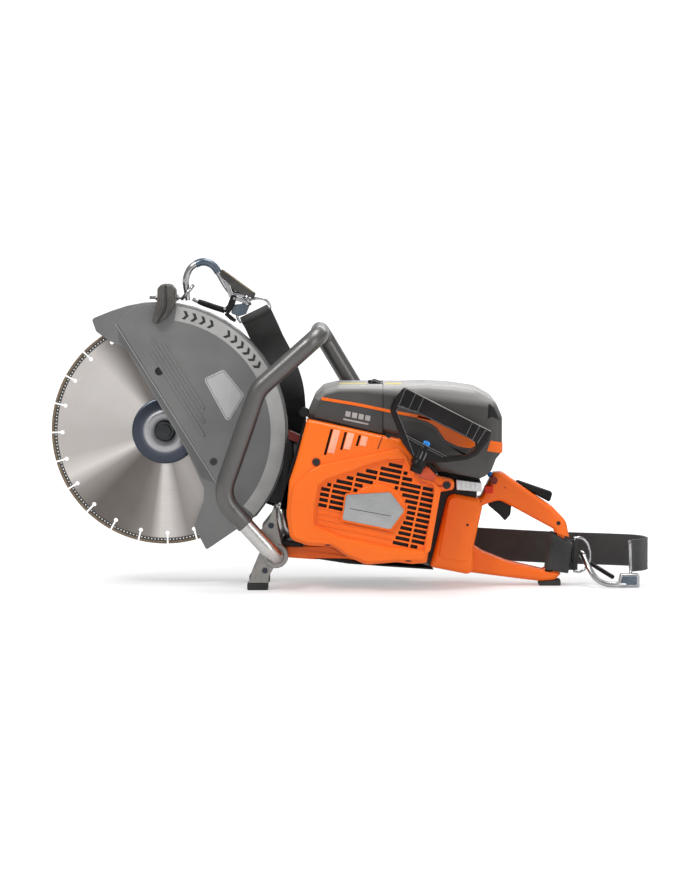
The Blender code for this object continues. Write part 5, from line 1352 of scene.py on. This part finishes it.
def make_starter_details():
    bars = [[(*point, 0.0006) for point in outline] for outline in PALE_BARS]
    slabs(
        "starter_pale_bars", bars, STARTER_FACE - 0.0004, STARTER_FACE + 0.0002, PALE_ORANGE, edge=0.0002,
        far_edge=0, steps=2,
    )
    # Dark sheets behind the slots: painted shade.
    slabs("slot_backs", SLOTS, -0.0985, -0.0975, JOINT_AND_HOLLOW_SHADE)
    # The raised frame round the louvres: a broad shoulder that runs down the front and along the foot.
    outer = RIDGE + mm(
        (104, 174.5), (125, 169), (129, 156), (112, 48), (70, 48.5), (23, 45), (-5, 57), (-28, 72),
        (-66, 74.5), (-89, 83), (-94.5, 118), (-90, 160),
    )
    plate(
        "starter_shoulder", [soft(outer, 0.0008, 0.008), soft(FIELD, -0.0015, 0.006)], -0.109, -0.102,
        ORANGE, edge=0.0026, steps=6,
    )
    slab(
        "starter_hub_dome", arc(CRANK, 0.0425, -8, 188, 48), -0.105, FIELD_FACE + 0.0002, ORANGE,
        edge=0.0025, far_edge=0,
    )
    # Blind ribs at the lower left.
    ribs = bmesh.new()
    margin = inset(FIELD, 0.004)
    for row in range(-7, 0):
        v = (row - 0.5) * LOUVRE_PITCH
        run = [u / 1000 for u in range(-92, 30) if inside(louvre_place(u / 1000, v), margin)]
        if len(run) > 8:
            a, b = Vector(louvre_place(run[0], v)), Vector(louvre_place(run[-1], v))
            add_slab(
                ribs, belt_line(a, 0.001, b, 0.00099, 4), FIELD_FACE - 0.0016, FIELD_FACE + 0.0004,
                edge=0.0006, far_edge=0, steps=3,
            )
    piece("starter_blind_ribs", ribs, ORANGE)
    # The funnel that the pull handle's boss sits in.
    funnel = mm(
        (82.6, 213.8, 2), (92.5, 196.3, 4), (107.6, 193.5, 4), (117.5, 190, 3), (129, 177, 3), (125, 169, 4),
        (107.6, 166.2, 6), (95.5, 175.4, 6), (88, 193.9, 6),
    )
    # The funnel's darker orange is painted shade in the recess.
    slab("starter_funnel", funnel, -0.1073, -0.1035, ORANGE_SHADE, edge=0.0022, far_edge=0)
    plate(
        "starter_field_lip", [soft(FIELD, -0.0022, 0.006), soft(FIELD, 0.0006, 0.006)], -0.1059, -0.1046,
        ORANGE, edge=0.0005,
    )
    # A dark sheet behind the louvres: painted shade of the cover's inside.
    plate("inner_shade_sheet", [inset(FIELD, -0.004), circle(CRANK, 0.0425, 64)], -0.0972, -0.0957, JOINT_AND_HOLLOW_SHADE)
    # A dark sheet in the gap beside the tank: painted shade.
    behind = mm(
        (108, 40, 4), (135, 160, 4), (129, 183, 4), (196, 169, 4), (190, 138, 4), (156, 138, 4), (140, 40, 4),
    )
    slab("shade_backing", behind, -0.052, -0.049, JOINT_AND_HOLLOW_SHADE, edge=0.0005)
    under = mm(
        (-65.5, 256, 1), (-64, 268, 1), (75, 238, 1), (118, 196, 2), (132, 184, 2), (128, 175, 2),
        (113, 185, 2), (72, 226, 2),
    )
    slab("cover_gasket", under, -0.082, -0.062, RUBBER, edge=0.001)
    slab(
        "seam_line", stripe(mm((46.8, 237.5), (39.3, 218)), 0.0012), STARTER_FACE - 0.0004,
        STARTER_FACE + 0.0002, JOINT_AND_HOLLOW_SHADE,
    )
    # A dark half disc: painted shade in a half hole.
    slab(
        "cover_half_hole", arc((0.056, 0.239), 0.004, -12, -192, 14), STARTER_FACE - 0.0003,
        STARTER_FACE + 0.0003, JOINT_AND_HOLLOW_SHADE,
    )
    strip = mm(
        (-70.5, 263.5, 1), (-68, 264, 1), (-85, 200, 6), (-96, 169, 10), (-99.5, 125, 10), (-101.5, 125, 10),
        (-98.5, 169, 10), (-88.5, 201, 6),
    )
    slab("front_seal", strip, -0.09, -0.06, BLACK, edge=0.0005)
    for number, (x, z) in enumerate(mm((-53.4, 198.5), (-35.6, 77), (86.3, 53), (144, 163.5)), start=1):
        screw(
            f"cover_screw_{number}_fine", x, z, -0.1052, 0.0056, BLACK_STEEL, "chassis",
            [f"cover_screw_{number}"], depth=0.0022,
        )
        # Darker orange rings round the screws: painted shade in their recesses.
        plate(
            f"cover_screw_ring_{number}", [circle((x, z), 0.007, 40), circle((x, z), 0.006, 40)], -0.1056,
            -0.1046, ORANGE_SHADE, edge=0.0003,
        )

    name = mm((-8, 149, 4), (58.5, 153, 4), (80, 124.9, 4), (59.2, 96.5, 4), (-13.9, 111, 4))
    slab(
        "name_plate_fine", name, -0.1068, -0.1053, SILVER_PLATE, "chassis", ["name_plate"], edge=0.0005,
        far_edge=0,
    )
    corners = [corner[:2] for corner in name]
    plate(
        "name_plate_surround", [soft(corners, -0.0022, 0.005), soft(corners, -0.0002, 0.004)], -0.1072,
        -0.105, ORANGE, edge=0.0005,
    )
    slab("name_plate_line", stripe(mm((-2, 128), (60, 116.5)), 0.0009), -0.107, -0.1066, INK)


# --- Handle, feet and arm -----------------------------------------------------------------------------


NEAR_LEG = -0.098
FAR_LEG = 0.112
TUBE_RADIUS = 0.0125
GRIP_RADIUS = 0.0142


def make_front_handle():
    points = [
        (-0.1156, 0.064, 0.0528, 0), (-0.1156, NEAR_LEG, 0.0528, 0.022), (-0.1985, NEAR_LEG, 0.144, 0.045),
        (-0.141, NEAR_LEG, 0.308, 0.045), (-0.0494, NEAR_LEG, 0.3895, 0.026),
        (-0.0494, FAR_LEG, 0.3895, 0.026), (0.04, FAR_LEG, 0.24, 0.03), (0.046, FAR_LEG, 0.205, 0.014),
        (0.046, 0.055, 0.205, 0),
    ]
    tube("handle_tube_fine", bent(points, 14), TUBE_RADIUS, TUBE_STEEL, "chassis", ["handle_tube"], sides=36)
    start = Vector((-0.1578, NEAR_LEG, 0.0992))
    low = Vector(points[2][:3])
    grip = bent([
        (*(low + (start - low) * 0.95), 0), points[2], points[3], (-0.076, NEAR_LEG, 0.3658, 0),
    ], 16)
    grip.insert(1, grip[0] + (grip[1] - grip[0]).normalized() * 0.0015)
    radii = [0.0132] + [GRIP_RADIUS] * (len(grip) - 1)
    tube("handle_grip_fine", grip, radii, GRIP, "chassis", ["handle_grip"], sides=36)
    upper = bent([(-0.076, NEAR_LEG, 0.3658, 0), points[4], (-0.0494, 0.08, 0.3895, 0)], 16)
    upper[0] = Vector((-0.0765, NEAR_LEG, 0.3654))
    tube("handle_grip_top", upper, GRIP_RADIUS, GRIP, sides=36)
    rear = bent([(-0.0494, 0.08, 0.3895, 0), points[5], (0.018, FAR_LEG, 0.2768, 0)], 16)
    tube("handle_grip_far", rear, GRIP_RADIUS, GRIP, sides=36)
    damper = mm((0, 45.8), (15, 45.8), (15.5, 47), (13.5, 49), (15.5, 51), (15, 54.2), (0, 54.2))
    turned("handle_damper_fine", damper, (0.046, 0, 0.205), RUBBER, "chassis", ["handle_damper"], sides=40)


def make_feet():
    refined("foot_bracket", FOOT_STEEL, 0.0012, segments=3)
    clamp = bmesh.new()
    for near, far in ((-0.0765, -0.0742), (0.0602, 0.0625)):
        add_turned(
            clamp, [(0.013, near), (0.018, near), (0.0188, near + 0.0008), (0.0188, far), (0.013, far)],
            (-0.1156, 0, 0.0528), 40,
        )
    piece("foot_clamp_rings", clamp, FOOT_STEEL)
    ribs = bmesh.new()
    for near, far in ((-0.0762, -0.0438), (0.0278, 0.0622)):
        for i in range(5):
            x = -0.156 + i * 0.0065
            add_box(ribs, (x, near - 0.0006, 0.0008), (x + 0.0022, far + 0.0006, 0.0092))
    piece("foot_pad_ribs", ribs, RUBBER)
    for name in ("foot_pad_near", "foot_pad_far", "rear_foot"):
        refined(name, RUBBER, 0.0015, segments=3)
    bolts = bmesh.new()
    bolt = mm((0, -77.5), (4, -77.5), (4.6, -76.5), (4.6, -73.8), (0, -73.8))
    for x, z in ((-0.1225, 0.099), (-0.132, 0.03)):
        add_turned(bolts, bolt, (x, 0, z), 6)
    piece("foot_bolts", bolts, DARK_STEEL)


def make_front_bits():
    """The pieces in front of the engine that show between the guard and the starter cover."""
    pipe = smooth_path(mm((-108.5, -20, 125), (-106.5, -28, 113), (-102, -30, 96), (-97.5, -24, 78)), 8)
    radii = [0.0085 + 0.0012 * (i / (len(pipe) - 1)) for i in range(len(pipe))]
    tube("exhaust_stub", pipe, radii, TUBE_STEEL, sides=28)
    collar = [pipe[0] + Vector((0, 0, z)) for z in (0.002, -0.005)]
    tube("exhaust_collar", collar, 0.011, PLATE_STEEL, sides=28)
    red = mm((-96.5, 244, 2), (-74, 233, 2), (-76, 222, 2), (-96, 230, 2))
    slab("front_red_element", red, -0.062, -0.0345, MAROON, edge=0.0015)
    shield = mm(
        (-101, 225, 4), (-90, 230, 4), (-87, 190, 4), (-96, 160, 4), (-101, 125, 4), (-108, 130, 4),
        (-105, 180, 4),
    )
    slab("front_heat_shield", shield, -0.057, 0.029, BLACK, edge=0.002)
    fins = bmesh.new()
    for i in range(9):
        z = 0.15 + i * 0.008
        add_box(fins, (-0.0945, -0.052, z), (-0.0905, 0.029, z + 0.0032))
    soften(piece("muffler_fins", fins, ENGINE, smooth=0), 0.0006)
    under = mm((-111, 76, 2), (-74, 70, 4), (-74, 64, 2), (-109, 66, 2))
    slab("front_under_block", under, -0.056, 0.02, BLACK, edge=0.0015)
    bracket = mm((159, 169, 1), (198.5, 164, 1), (198.5, 150, 2), (160, 153, 2))
    slab("intake_front_plate", bracket, -0.069, -0.0555, ALUMINIUM, edge=0.001)
    slots = [[
        (x, 0.156), (x + 0.0018, 0.1558), (x + 0.0018, 0.164), (x, 0.1642),
    ] for x in (0.1665, 0.1735, 0.1805, 0.1875)]
    slabs("intake_slots", slots, -0.0694, -0.0688, PLATE_STEEL)
    belly = mm(
        (-90, 56, 4), (-30, 53, 10), (10, 40, 20), (90, 40, 6), (125, 33, 4), (180, 19, 4), (125, 28, 10),
        (50, 33, 30), (-5, 37, 30), (-50, 44, 10), (-90, 48, 4),
    )
    slab("belly_plate", belly, -0.044, 0.03, BLACK, edge=0.002)


def make_arm():
    refined("cutting_arm", ARM_PAINT, 0.001, segments=3)
    refined("belt_guard", BLACK, 0.001, segments=2)
    a, b = Vector(SPINDLE), Vector(CRANK)
    middle = (a + b) / 2
    along = (b - a).normalized()
    across = Vector((-along.y, along.x))
    screws = bmesh.new()
    head = mm((0, 103.5), (4.2, 103.5), (4.8, 106), (4, 107.2), (0, 107.2))
    for centre, out, angle in (
        (a, 0.0455, 150), (a, 0.0455, 40), (a, 0.0455, 265), (b, 0.0515, 60), (b, 0.0515, -60),
    ):
        x, z = at_angle(centre, out, angle)
        add_turned(screws, head, (x, 0, z), 24)
    piece("belt_guard_screws", screws, BLACK_STEEL)
    plate(
        "belt_guard_rib", [belt_line(a, 0.04, b, 0.0455), belt_line(a, 0.0375, b, 0.043)], 0.1035, 0.1056,
        BLACK, edge=0.0007,
    )
    ribs = []
    for i in range(-3, 4):
        start, end = (middle + along * (i * 0.026) + across * reach for reach in (-0.03, 0.03))
        ribs.append(belt_line(start, 0.0016, end, 0.00159, 6))
    slabs("belt_guard_cross_ribs", ribs, 0.1035, 0.1052, BLACK, edge=0, far_edge=0.0006, steps=2)
    hub = mm((0, 103.6), (20, 103.6), (20, 105.2), (18.8, 106), (0, 106))
    turned("belt_guard_hub", hub, (a.x, 0, a.y), BLACK, sides=64)


# --- Rear unit and controls ---------------------------------------------------------------------------


CAP_AT = (0.16, 0.1)


def make_rear():
    outline = mm(
        (120, 33.5, 4), (148, 148, 12), (195, 138.5, 6), (200, 125, 6), (187, 65, 8), (186, 20.5, 10),
    )
    tank = slab_of(outline, -0.06, 0.058, edge=0.008, steps=7)
    filler = bmesh.new()
    add_turned(filler, plug(0.0125, 0.04, 0.07), (CAP_AT[0], 0, CAP_AT[1]), 40)
    carved("fuel_tank_fine", tank, [filler], ORANGE, "chassis", ["rear_unit"])
    outer = mm(
        (160, 128, 0), (199, 138, 4), (217.5, 175, 6), (232, 175.7, 10), (310, 121.5, 20), (331, 100, 20),
        (336.5, 72, 10), (326.5, 22, 10), (314, 8.8, 10), (293, 6.8, 10), (267, 9.8, 20), (183, 20.5, 20),
        (150, 30, 0),
    )
    opening = mm(
        (180, 68, 4), (180, 112, 4), (207, 126.2, 14), (227.4, 132.7, 14), (248, 122.3, 20),
        (313.5, 86.8, 6), (303.5, 30, 6), (295, 24.8, 4), (239, 38, 30), (201.6, 53, 10),
    )
    handle = bmesh.new()
    handle.from_mesh(plate_mesh([section_of(outer), section_of(opening)], -0.019, 0.019, 0.0068, 7))
    cutters = [
        slab_of(outline, -half, half)
        for outline, half in (
            (mm((298, 22.5), (345, 14.5), (352, 70), (304, 86.5)), 0.03),
            (mm((208, 110), (208, 148), (240, 152), (262, 140), (262, 105)), 0.01),
            (mm((250, 172), (325, 125), (313, 112), (252, 153)), 0.009),
        )
    ]
    carved("rear_handle_fine", handle, cutters, ORANGE)
    slab("rear_post_core", mm((308, 18), (320, 18), (330, 85), (318, 85)), -0.014, 0.014, ORANGE, edge=0.001)
    # Dark discs in the screw holes: painted shade.
    holes = bmesh.new()
    for x, z, radius, y in (
        (0.1772, 0.0988, 0.0019, -0.0616), (0.3189, 0.0973, 0.0032, -0.0191),
        (0.2362, 0.1522, 0.0011, -0.0191), (0.199, 0.1309, 0.0011, -0.0191),
    ):
        add_turned(holes, plug(radius, y - 0.0001, y + 0.001), (x, 0, z), 24)
    piece("rear_screw_holes", holes, JOINT_AND_HOLLOW_SHADE)
    panel = mm((133, 48, 6), (150, 143, 10), (193, 134.5, 6), (195, 125, 6), (181, 65, 8), (179, 42, 6))
    slab("tank_cheek_near", panel, -0.0612, -0.0585, ORANGE, edge=0.0014, far_edge=0)
    for name in ("throttle_trigger", "throttle_lockout"):
        refined(name, BLACK, 0.0012, segments=3, limit=30)
    refined("stop_switch", RED, 0.0008, segments=3)
    knob = mm(
        (0, -19.3), (3.5, -19.3), (3.5, -25), (5.8, -25.8), (6.2, -26.8), (6.2, -30), (5.4, -31.3),
        (0, -31.6),
    )
    turned("choke_knob_fine", knob, (0.2185, 0, 0.1645), MAROON, "choke", ["choke_knob"], sides=36)
    lean = Vector((-0.885, 0.0, 0.465)).normalized()
    bulb = mm((0, 0), (4.5, 0), (4.7, 1.2), (4.2, 3), (3.2, 4.8), (1.8, 5.9), (0, 6.3))
    turned(
        "purge_bulb_fine", bulb, Vector((0.216, -0.008, 0.1705)) + lean * 0.0008, BLUE, "chassis",
        ["purge_bulb"], sides=36, axis=lean,
    )
    cap = bmesh.new()
    add_turned(
        cap, mm((0, 48), (12, 48), (12, 58.3), (20.5, 58.3), (20.5, 68), (19, 70.5), (15, 71.2), (0, 71.2)),
        (CAP_AT[0], 0, CAP_AT[1]), 64,
    )
    rib = mm((0, 60), (1, 60), (1, 67.2), (0.4, 68), (0, 68))
    for i in range(24):
        x, z = at_angle(CAP_AT, 0.0205, i * 15)
        add_turned(cap, rib, (x, 0, z), 10)
    piece("fuel_cap_fine", cap, BLACK, "cap", ["fuel_cap"])
    slab(
        "fuel_cap_grip", belt_line((0.148, 0.1), 0.0032, (0.172, 0.1), 0.00319, 10), 0.07, 0.0745, BLACK,
        "cap", edge=0, far_edge=0.0012,
    )


# --- Pull handle --------------------------------------------------------------------------------------

PULL_NEAR = -0.13
PULL_FAR = -0.1075
KNOT = Vector((0.1126, -0.119, 0.2261))


def make_pull_handle():
    refined("pull_handle", BLACK, 0.0018, segments=3, limit=30)
    # Each line's x and z where it starts and where it ends, and its width.
    lines = mm(
        (69, 285, 100.1, 275.2, 0.7), (100.1, 275.2, 171.5, 239.8, 0.7), (171.5, 239.8, 186, 230, 0.7),
        (81.2, 311, 70.6, 285, 0.8), (96.6, 304, 85.8, 280, 0.8), (108.8, 298, 98.9, 275.8, 0.8),
        (181.8, 260.6, 172.2, 240.2, 0.8), (192.6, 255, 181.8, 233.5, 0.8), (202.5, 250, 189.3, 229, 0.8),
        (67.2, 278.9, 81.7, 244, 0.7), (81.7, 244, 93.6, 211, 0.7), (81.7, 241.2, 142.8, 209, 0.9),
        (84, 236.5, 138.2, 207.6, 0.7),
    )
    outlines = [stripe([line[:2], line[2:4]], line[4]) for line in lines]
    # The lines are grey: painted highlights along the moulded edges.
    slabs(
        "pull_moulded_lines", outlines, PULL_NEAR - 0.0007, PULL_NEAR + 0.0006, RIB_HIGHLIGHT, "pull",
        edge=0.0002, steps=1,
    )
    # A pale line along the handle's upper edge: a painted highlight.
    slab(
        "pull_edge_line", stripe(mm((81.6, 312), (209.6, 246.8)), 0.0009), PULL_NEAR - 0.0008,
        PULL_NEAR + 0.0006, EDGE_HIGHLIGHT, "pull", edge=0.0002,
    )
    panel = mm((110.5, 295.5, 1), (180, 260, 1), (170.5, 241.5, 1), (101, 276.2, 1))
    slab(
        "pull_grip_panel", panel, PULL_NEAR - 0.0004, PULL_NEAR + 0.0008, BLACK, "pull", edge=0.0003,
        far_edge=0,
    )
    bar = mm((79, 240.8), (86, 235), (139.5, 205.5), (145, 208.5), (82, 242.5))
    slab("pull_cross_bar", bar, PULL_NEAR - 0.0002, PULL_FAR, BLACK, "pull", edge=0.001)
    place = Vector((0.1008, -0.1225, 0.1962))
    run = Vector((0.1132, -0.1225, 0.2262)) - place
    axis, length = run.normalized(), run.length
    boss = bmesh.new()
    add_turned(
        boss,
        [
            (0.0, -0.002), (0.011, -0.002), (0.0114, 0.001), (0.0104, 0.0035), (0.0098, 0.008),
            (0.0098, length - 0.01), (0.0088, length - 0.004), (0.0, length - 0.003),
        ], place, 40, axis=axis,
    )
    piece("pull_boss_fine", boss, BLACK, "pull")
    flutes = bmesh.new()
    side = axis.orthogonal().normalized()
    other = axis.cross(side)
    for i in range(10):
        angle = 2 * pi * i / 10
        at = (side * cos(angle) + other * sin(angle)) * 0.0098
        add_tube(flutes, [place + at + axis * 0.009, place + at + axis * (length - 0.011)], 0.0009, 8)
    # Grey flutes: painted highlights on the boss.
    piece("pull_boss_flutes", flutes, RIB_HIGHLIGHT, "pull")


def make_rope():
    foot = Vector((0.1008, -0.119, 0.1962))
    axis = (KNOT - foot).normalized()
    side = axis.orthogonal().normalized()
    other = axis.cross(side)
    rope = bmesh.new()
    for strand in range(3):
        path = []
        for step in range(64):
            along = -0.042 + 0.047 * step / 63
            angle = 2 * pi * (strand / 3 + along / 0.01)
            path.append(KNOT + axis * along + side * 0.0009 * cos(angle) + other * 0.0009 * sin(angle))
        add_tube(rope, path, 0.00115, 10)
    knot = []
    top = KNOT + Vector((-0.001, -0.006, -0.0034))
    for step in range(90):
        t = 2 * pi * step / 90
        knot.append(
            top + axis * (0.0048 + 0.0026 * sin(3 * t)) + side * (
                0.0026 * sin(t) + 0.0018 * sin(2 * t)
            ) + other * (0.0026 * cos(t) - 0.0018 * cos(2 * t))
        )
    add_tube(rope, knot, 0.0017, 12, closed=True, across=axis)
    rope = piece("starter_rope_fine", rope, BLUE_ROPE, None, ["starter_rope"])
    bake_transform(rope)
    guide = bmesh.new()
    add_turned(guide, mm((2.4, -13), (9, -13), (10, -6), (10, -2.6), (2.4, -2.6)), foot, 36, axis=axis)
    piece("rope_guide", guide, BLACK)


# --- Webbing ------------------------------------------------------------------------------------------


def strap(name, stations, width, thickness, look, body, stands_for):
    """Webbing along the stations, each a point and its width's direction, with a bound edge on both sides."""
    path, across = (smooth_path(way) for way in zip(*stations))
    half, thin, ridge = width / 2, thickness / 2, 0.0004
    section = [
        (-half, 0.0), (-half + 0.0006, -thin), (-half + 0.003, -thin), (-half + 0.0036, -thin + ridge),
        (-half / 2, -thin + ridge * 0.6), (0.0, -thin + ridge), (half / 2, -thin + ridge * 0.6),
        (half - 0.0036, -thin + ridge), (half - 0.003, -thin), (half - 0.0006, -thin), (half, 0.0),
        (half - 0.0006, thin), (half - 0.003, thin), (half / 2, thin - ridge), (0.0, thin - ridge * 0.6),
        (-half / 2, thin - ridge), (-half + 0.003, thin), (-half + 0.0006, thin),
    ]
    built = bmesh.new()
    rings = [[point + u * a + v * b for a, b in section] for point, u, v in frames_along(path, across)]
    made = lofted(built, rings)
    runs = [0.0]
    for a, b in zip(path, path[1:]):
        runs.append(runs[-1] + (b - a).length)
    place = {}
    for ring, run in zip(made, runs):
        for vert, (a, b) in zip(ring, section):
            place[vert] = (a + half, run)
    layer = built.loops.layers.uv.new("UVMap")
    for face in built.faces:
        for loop in face.loops:
            loop[layer].uv = place[loop.vert]
    return piece(name, built, look, body, stands_for, smooth=60), runs[-1]


WIDTH_OF_SLING = 0.05


def make_sling():
    up = (0.0, 0.0, 1.0)
    across = HOOK_LEAN
    stations = [
        ((-0.1465, -0.001, 0.4165), across), ((-0.14, 0.007, 0.403), (0.88, -0.2, 0.43)),
        ((-0.129, 0.0285, 0.377), (0.88, -0.2, 0.43)), ((-0.112, 0.03, 0.342), (0.9, 0.0, 0.43)),
        ((-0.101, 0.038, 0.31), (0.95, 0.05, 0.25)), ((-0.097, 0.06, 0.283), (0.98, 0.0, -0.1)),
        ((-0.096, 0.09, 0.262), (0.95, 0.0, -0.3)), ((-0.096, 0.111, 0.228), (0.99, 0.0, -0.1)),
        ((-0.092, 0.1145, 0.175), (1.0, 0.0, 0.1)), ((-0.071, 0.1145, 0.125), (0.9, 0.0, 0.42)),
        ((-0.028, 0.114, 0.08), (0.7, 0.0, 0.72)), ((0.02, 0.112, 0.062), (0.25, 0.0, 0.97)),
        ((0.08, 0.107, 0.058), up), ((0.15, 0.096, 0.057), up), ((0.23, 0.082, 0.054), up),
        ((0.32, 0.074, 0.05), up), ((0.4, 0.068, 0.048), up), ((0.445, 0.056, 0.047), up),
        ((0.46, 0.03, 0.046), up), ((0.45, 0.005, 0.046), up), ((0.434, -0.008, 0.046), up),
        ((0.431, -0.013, 0.046), up),
    ]
    sling, length = strap(
        "sling_webbing_fine", stations, WIDTH_OF_SLING, 0.0024, WEBBING, None, ["sling_webbing"],
    )
    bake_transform(sling)
    profile = mm((2.4, -23.5), (5.8, -23.5), (6.4, -22.5), (6.4, 22.5), (5.8, 23.5), (2.4, 23.5))
    fold = bmesh.new()
    add_turned(fold, profile, (-0.148, -0.005, 0.418), 32, axis=across)
    piece("sling_fold", fold, FOLD, "guard")


def make_anchor():
    refined("anchor_strap", FOLD, 0.0016, segments=3, limit=30)
    stitches = bmesh.new()
    lines = [
        ((0.306, 0.027), (0.33, 0.0235)), ((0.306, 0.027), (0.312, 0.078)), ((0.312, 0.078), (0.336, 0.063)),
        ((0.33, 0.0235), (0.336, 0.063)),
    ]
    for a, b in lines:
        a, b = Vector(a), Vector(b)
        count = int((b - a).length / 0.0032)
        for i in range(count):
            p, q = a + (b - a) * (i + 0.15) / count, a + (b - a) * (i + 0.75) / count
            add_tube(stitches, [Vector((p.x, -0.0203, p.y)), Vector((q.x, -0.0203, q.y))], 0.00035, 8)
    piece("anchor_stitches", stitches, THREAD)
    eyelets = bmesh.new()
    eyelet = mm((3, -6.2), (5.5, -6.2), (6.2, -5), (6.2, -3.6), (3, -3.6))
    for x, z in ((0.3385, 0.061), (0.336, 0.031)):
        add_turned(eyelets, eyelet, (x, 0, z), 32)
    piece("anchor_eyelets", eyelets, BLACK_STEEL)
    places = [0.3345 + i * 0.0032 for i in range(3)]
    bars = [belt_line((x, 0.039), 0.0009, (x + 0.001, 0.053), 0.00089, 6) for x in places]
    slabs("anchor_bars", bars, -0.0045, -0.003, BLACK_STEEL, edge=0.0004, far_edge=0, steps=2)
    d_ring_fine(
        "rear_ring_fine", Vector((0.345, 0.0, 0.0465)), Vector((0, 0, 1)), Vector((1, 0, 0)), 0.0245,
        "chassis", ["rear_ring"],
    )


def make_rear_hook():
    line = smooth_path(
        mm(
            (360, 26, 40), (356, 13, 46.5), (356.5, -2, 49), (359, -17, 44), (365, -32, 30), (376, -43, 14),
            (392, -48, 6.4), (410, -47, 5.6), (430, -42, 5.6),
        ), 8,
    )
    hook = bmesh.new()
    add_tube(hook, line, [0.0034 + 0.001 * min(1.0, i / 12) for i in range(len(line))], 20)
    bar = smooth_path(mm((425, -38, 18), (430, -25, 18), (430, -18, 35), (429, -18, 64), (428, -26, 70)), 8)
    add_tube(hook, bar, 0.0025, 16)
    piece("rear_hook_wire", hook, CHROME, "chassis", ["rear_hook"])
    body = mm((408, 1.2, 2), (442, 1.2, 2), (442, 22, 4), (412, 22, 4))
    slab("rear_hook_body", body, -0.048, -0.0345, CHROME, edge=0.0025)
    slab(
        "rear_hook_cheek", mm((412, 5, 2), (438, 5, 2), (438, 18.5, 3), (415, 18.5, 3)), -0.0488, -0.0475,
        BLUED, edge=0.0006,
    )
    pivot, tip = Vector((0.404, -0.031, 0.014)), Vector((0.3688, 0.0174, 0.0325))
    gate = [pivot + (tip - pivot) * share for share in (0.05, 0.3, 0.6, 0.9, 1.0)]
    tube(
        "rear_gate_fine", gate, [0.0034, 0.0034, 0.0034, 0.0032, 0.0026], BLACK, "rear_gate",
        ["rear_hook_gate"], sides=18,
    )


# --- The whole saw ------------------------------------------------------------------------------------

for node, look, width in (
    ("air_filter", FOAM, 0.003), ("carburettor", ALUMINIUM, 0.001), ("crankcase", ENGINE, 0.001),
    ("cylinder", ENGINE, 0.0004), ("muffler", ENGINE, 0.0012), ("intake_bracket", BLACK, 0.0008),
    ("chassis_arm", ORANGE, 0.001), ("drive_belt", RUBBER, 0.0005),
):
    refined(node, look, width)
for node, look in (
    ("piston", ALUMINIUM), ("spark_plug", PLATE_STEEL), ("crankshaft", TUBE_STEEL), ("flywheel", ALUMINIUM),
    ("clutch_hub", TUBE_STEEL), ("clutch_drum", DARK_STEEL), ("blade_spindle", TUBE_STEEL),
    ("driven_pulley", DARK_STEEL), ("spindle_bearing", TUBE_STEEL), ("starter_reel", BLACK),
):
    frame["nodes"][node].data.materials.clear()
    frame["nodes"][node].data.materials.append(look)
make_blade()
make_guard()
make_front_hook()
make_covers()
make_starter_cover()
make_starter_details()
make_front_handle()
make_feet()
make_front_bits()
make_arm()
make_rear()
make_pull_handle()
make_rope()
make_sling()
make_anchor()
make_rear_hook()
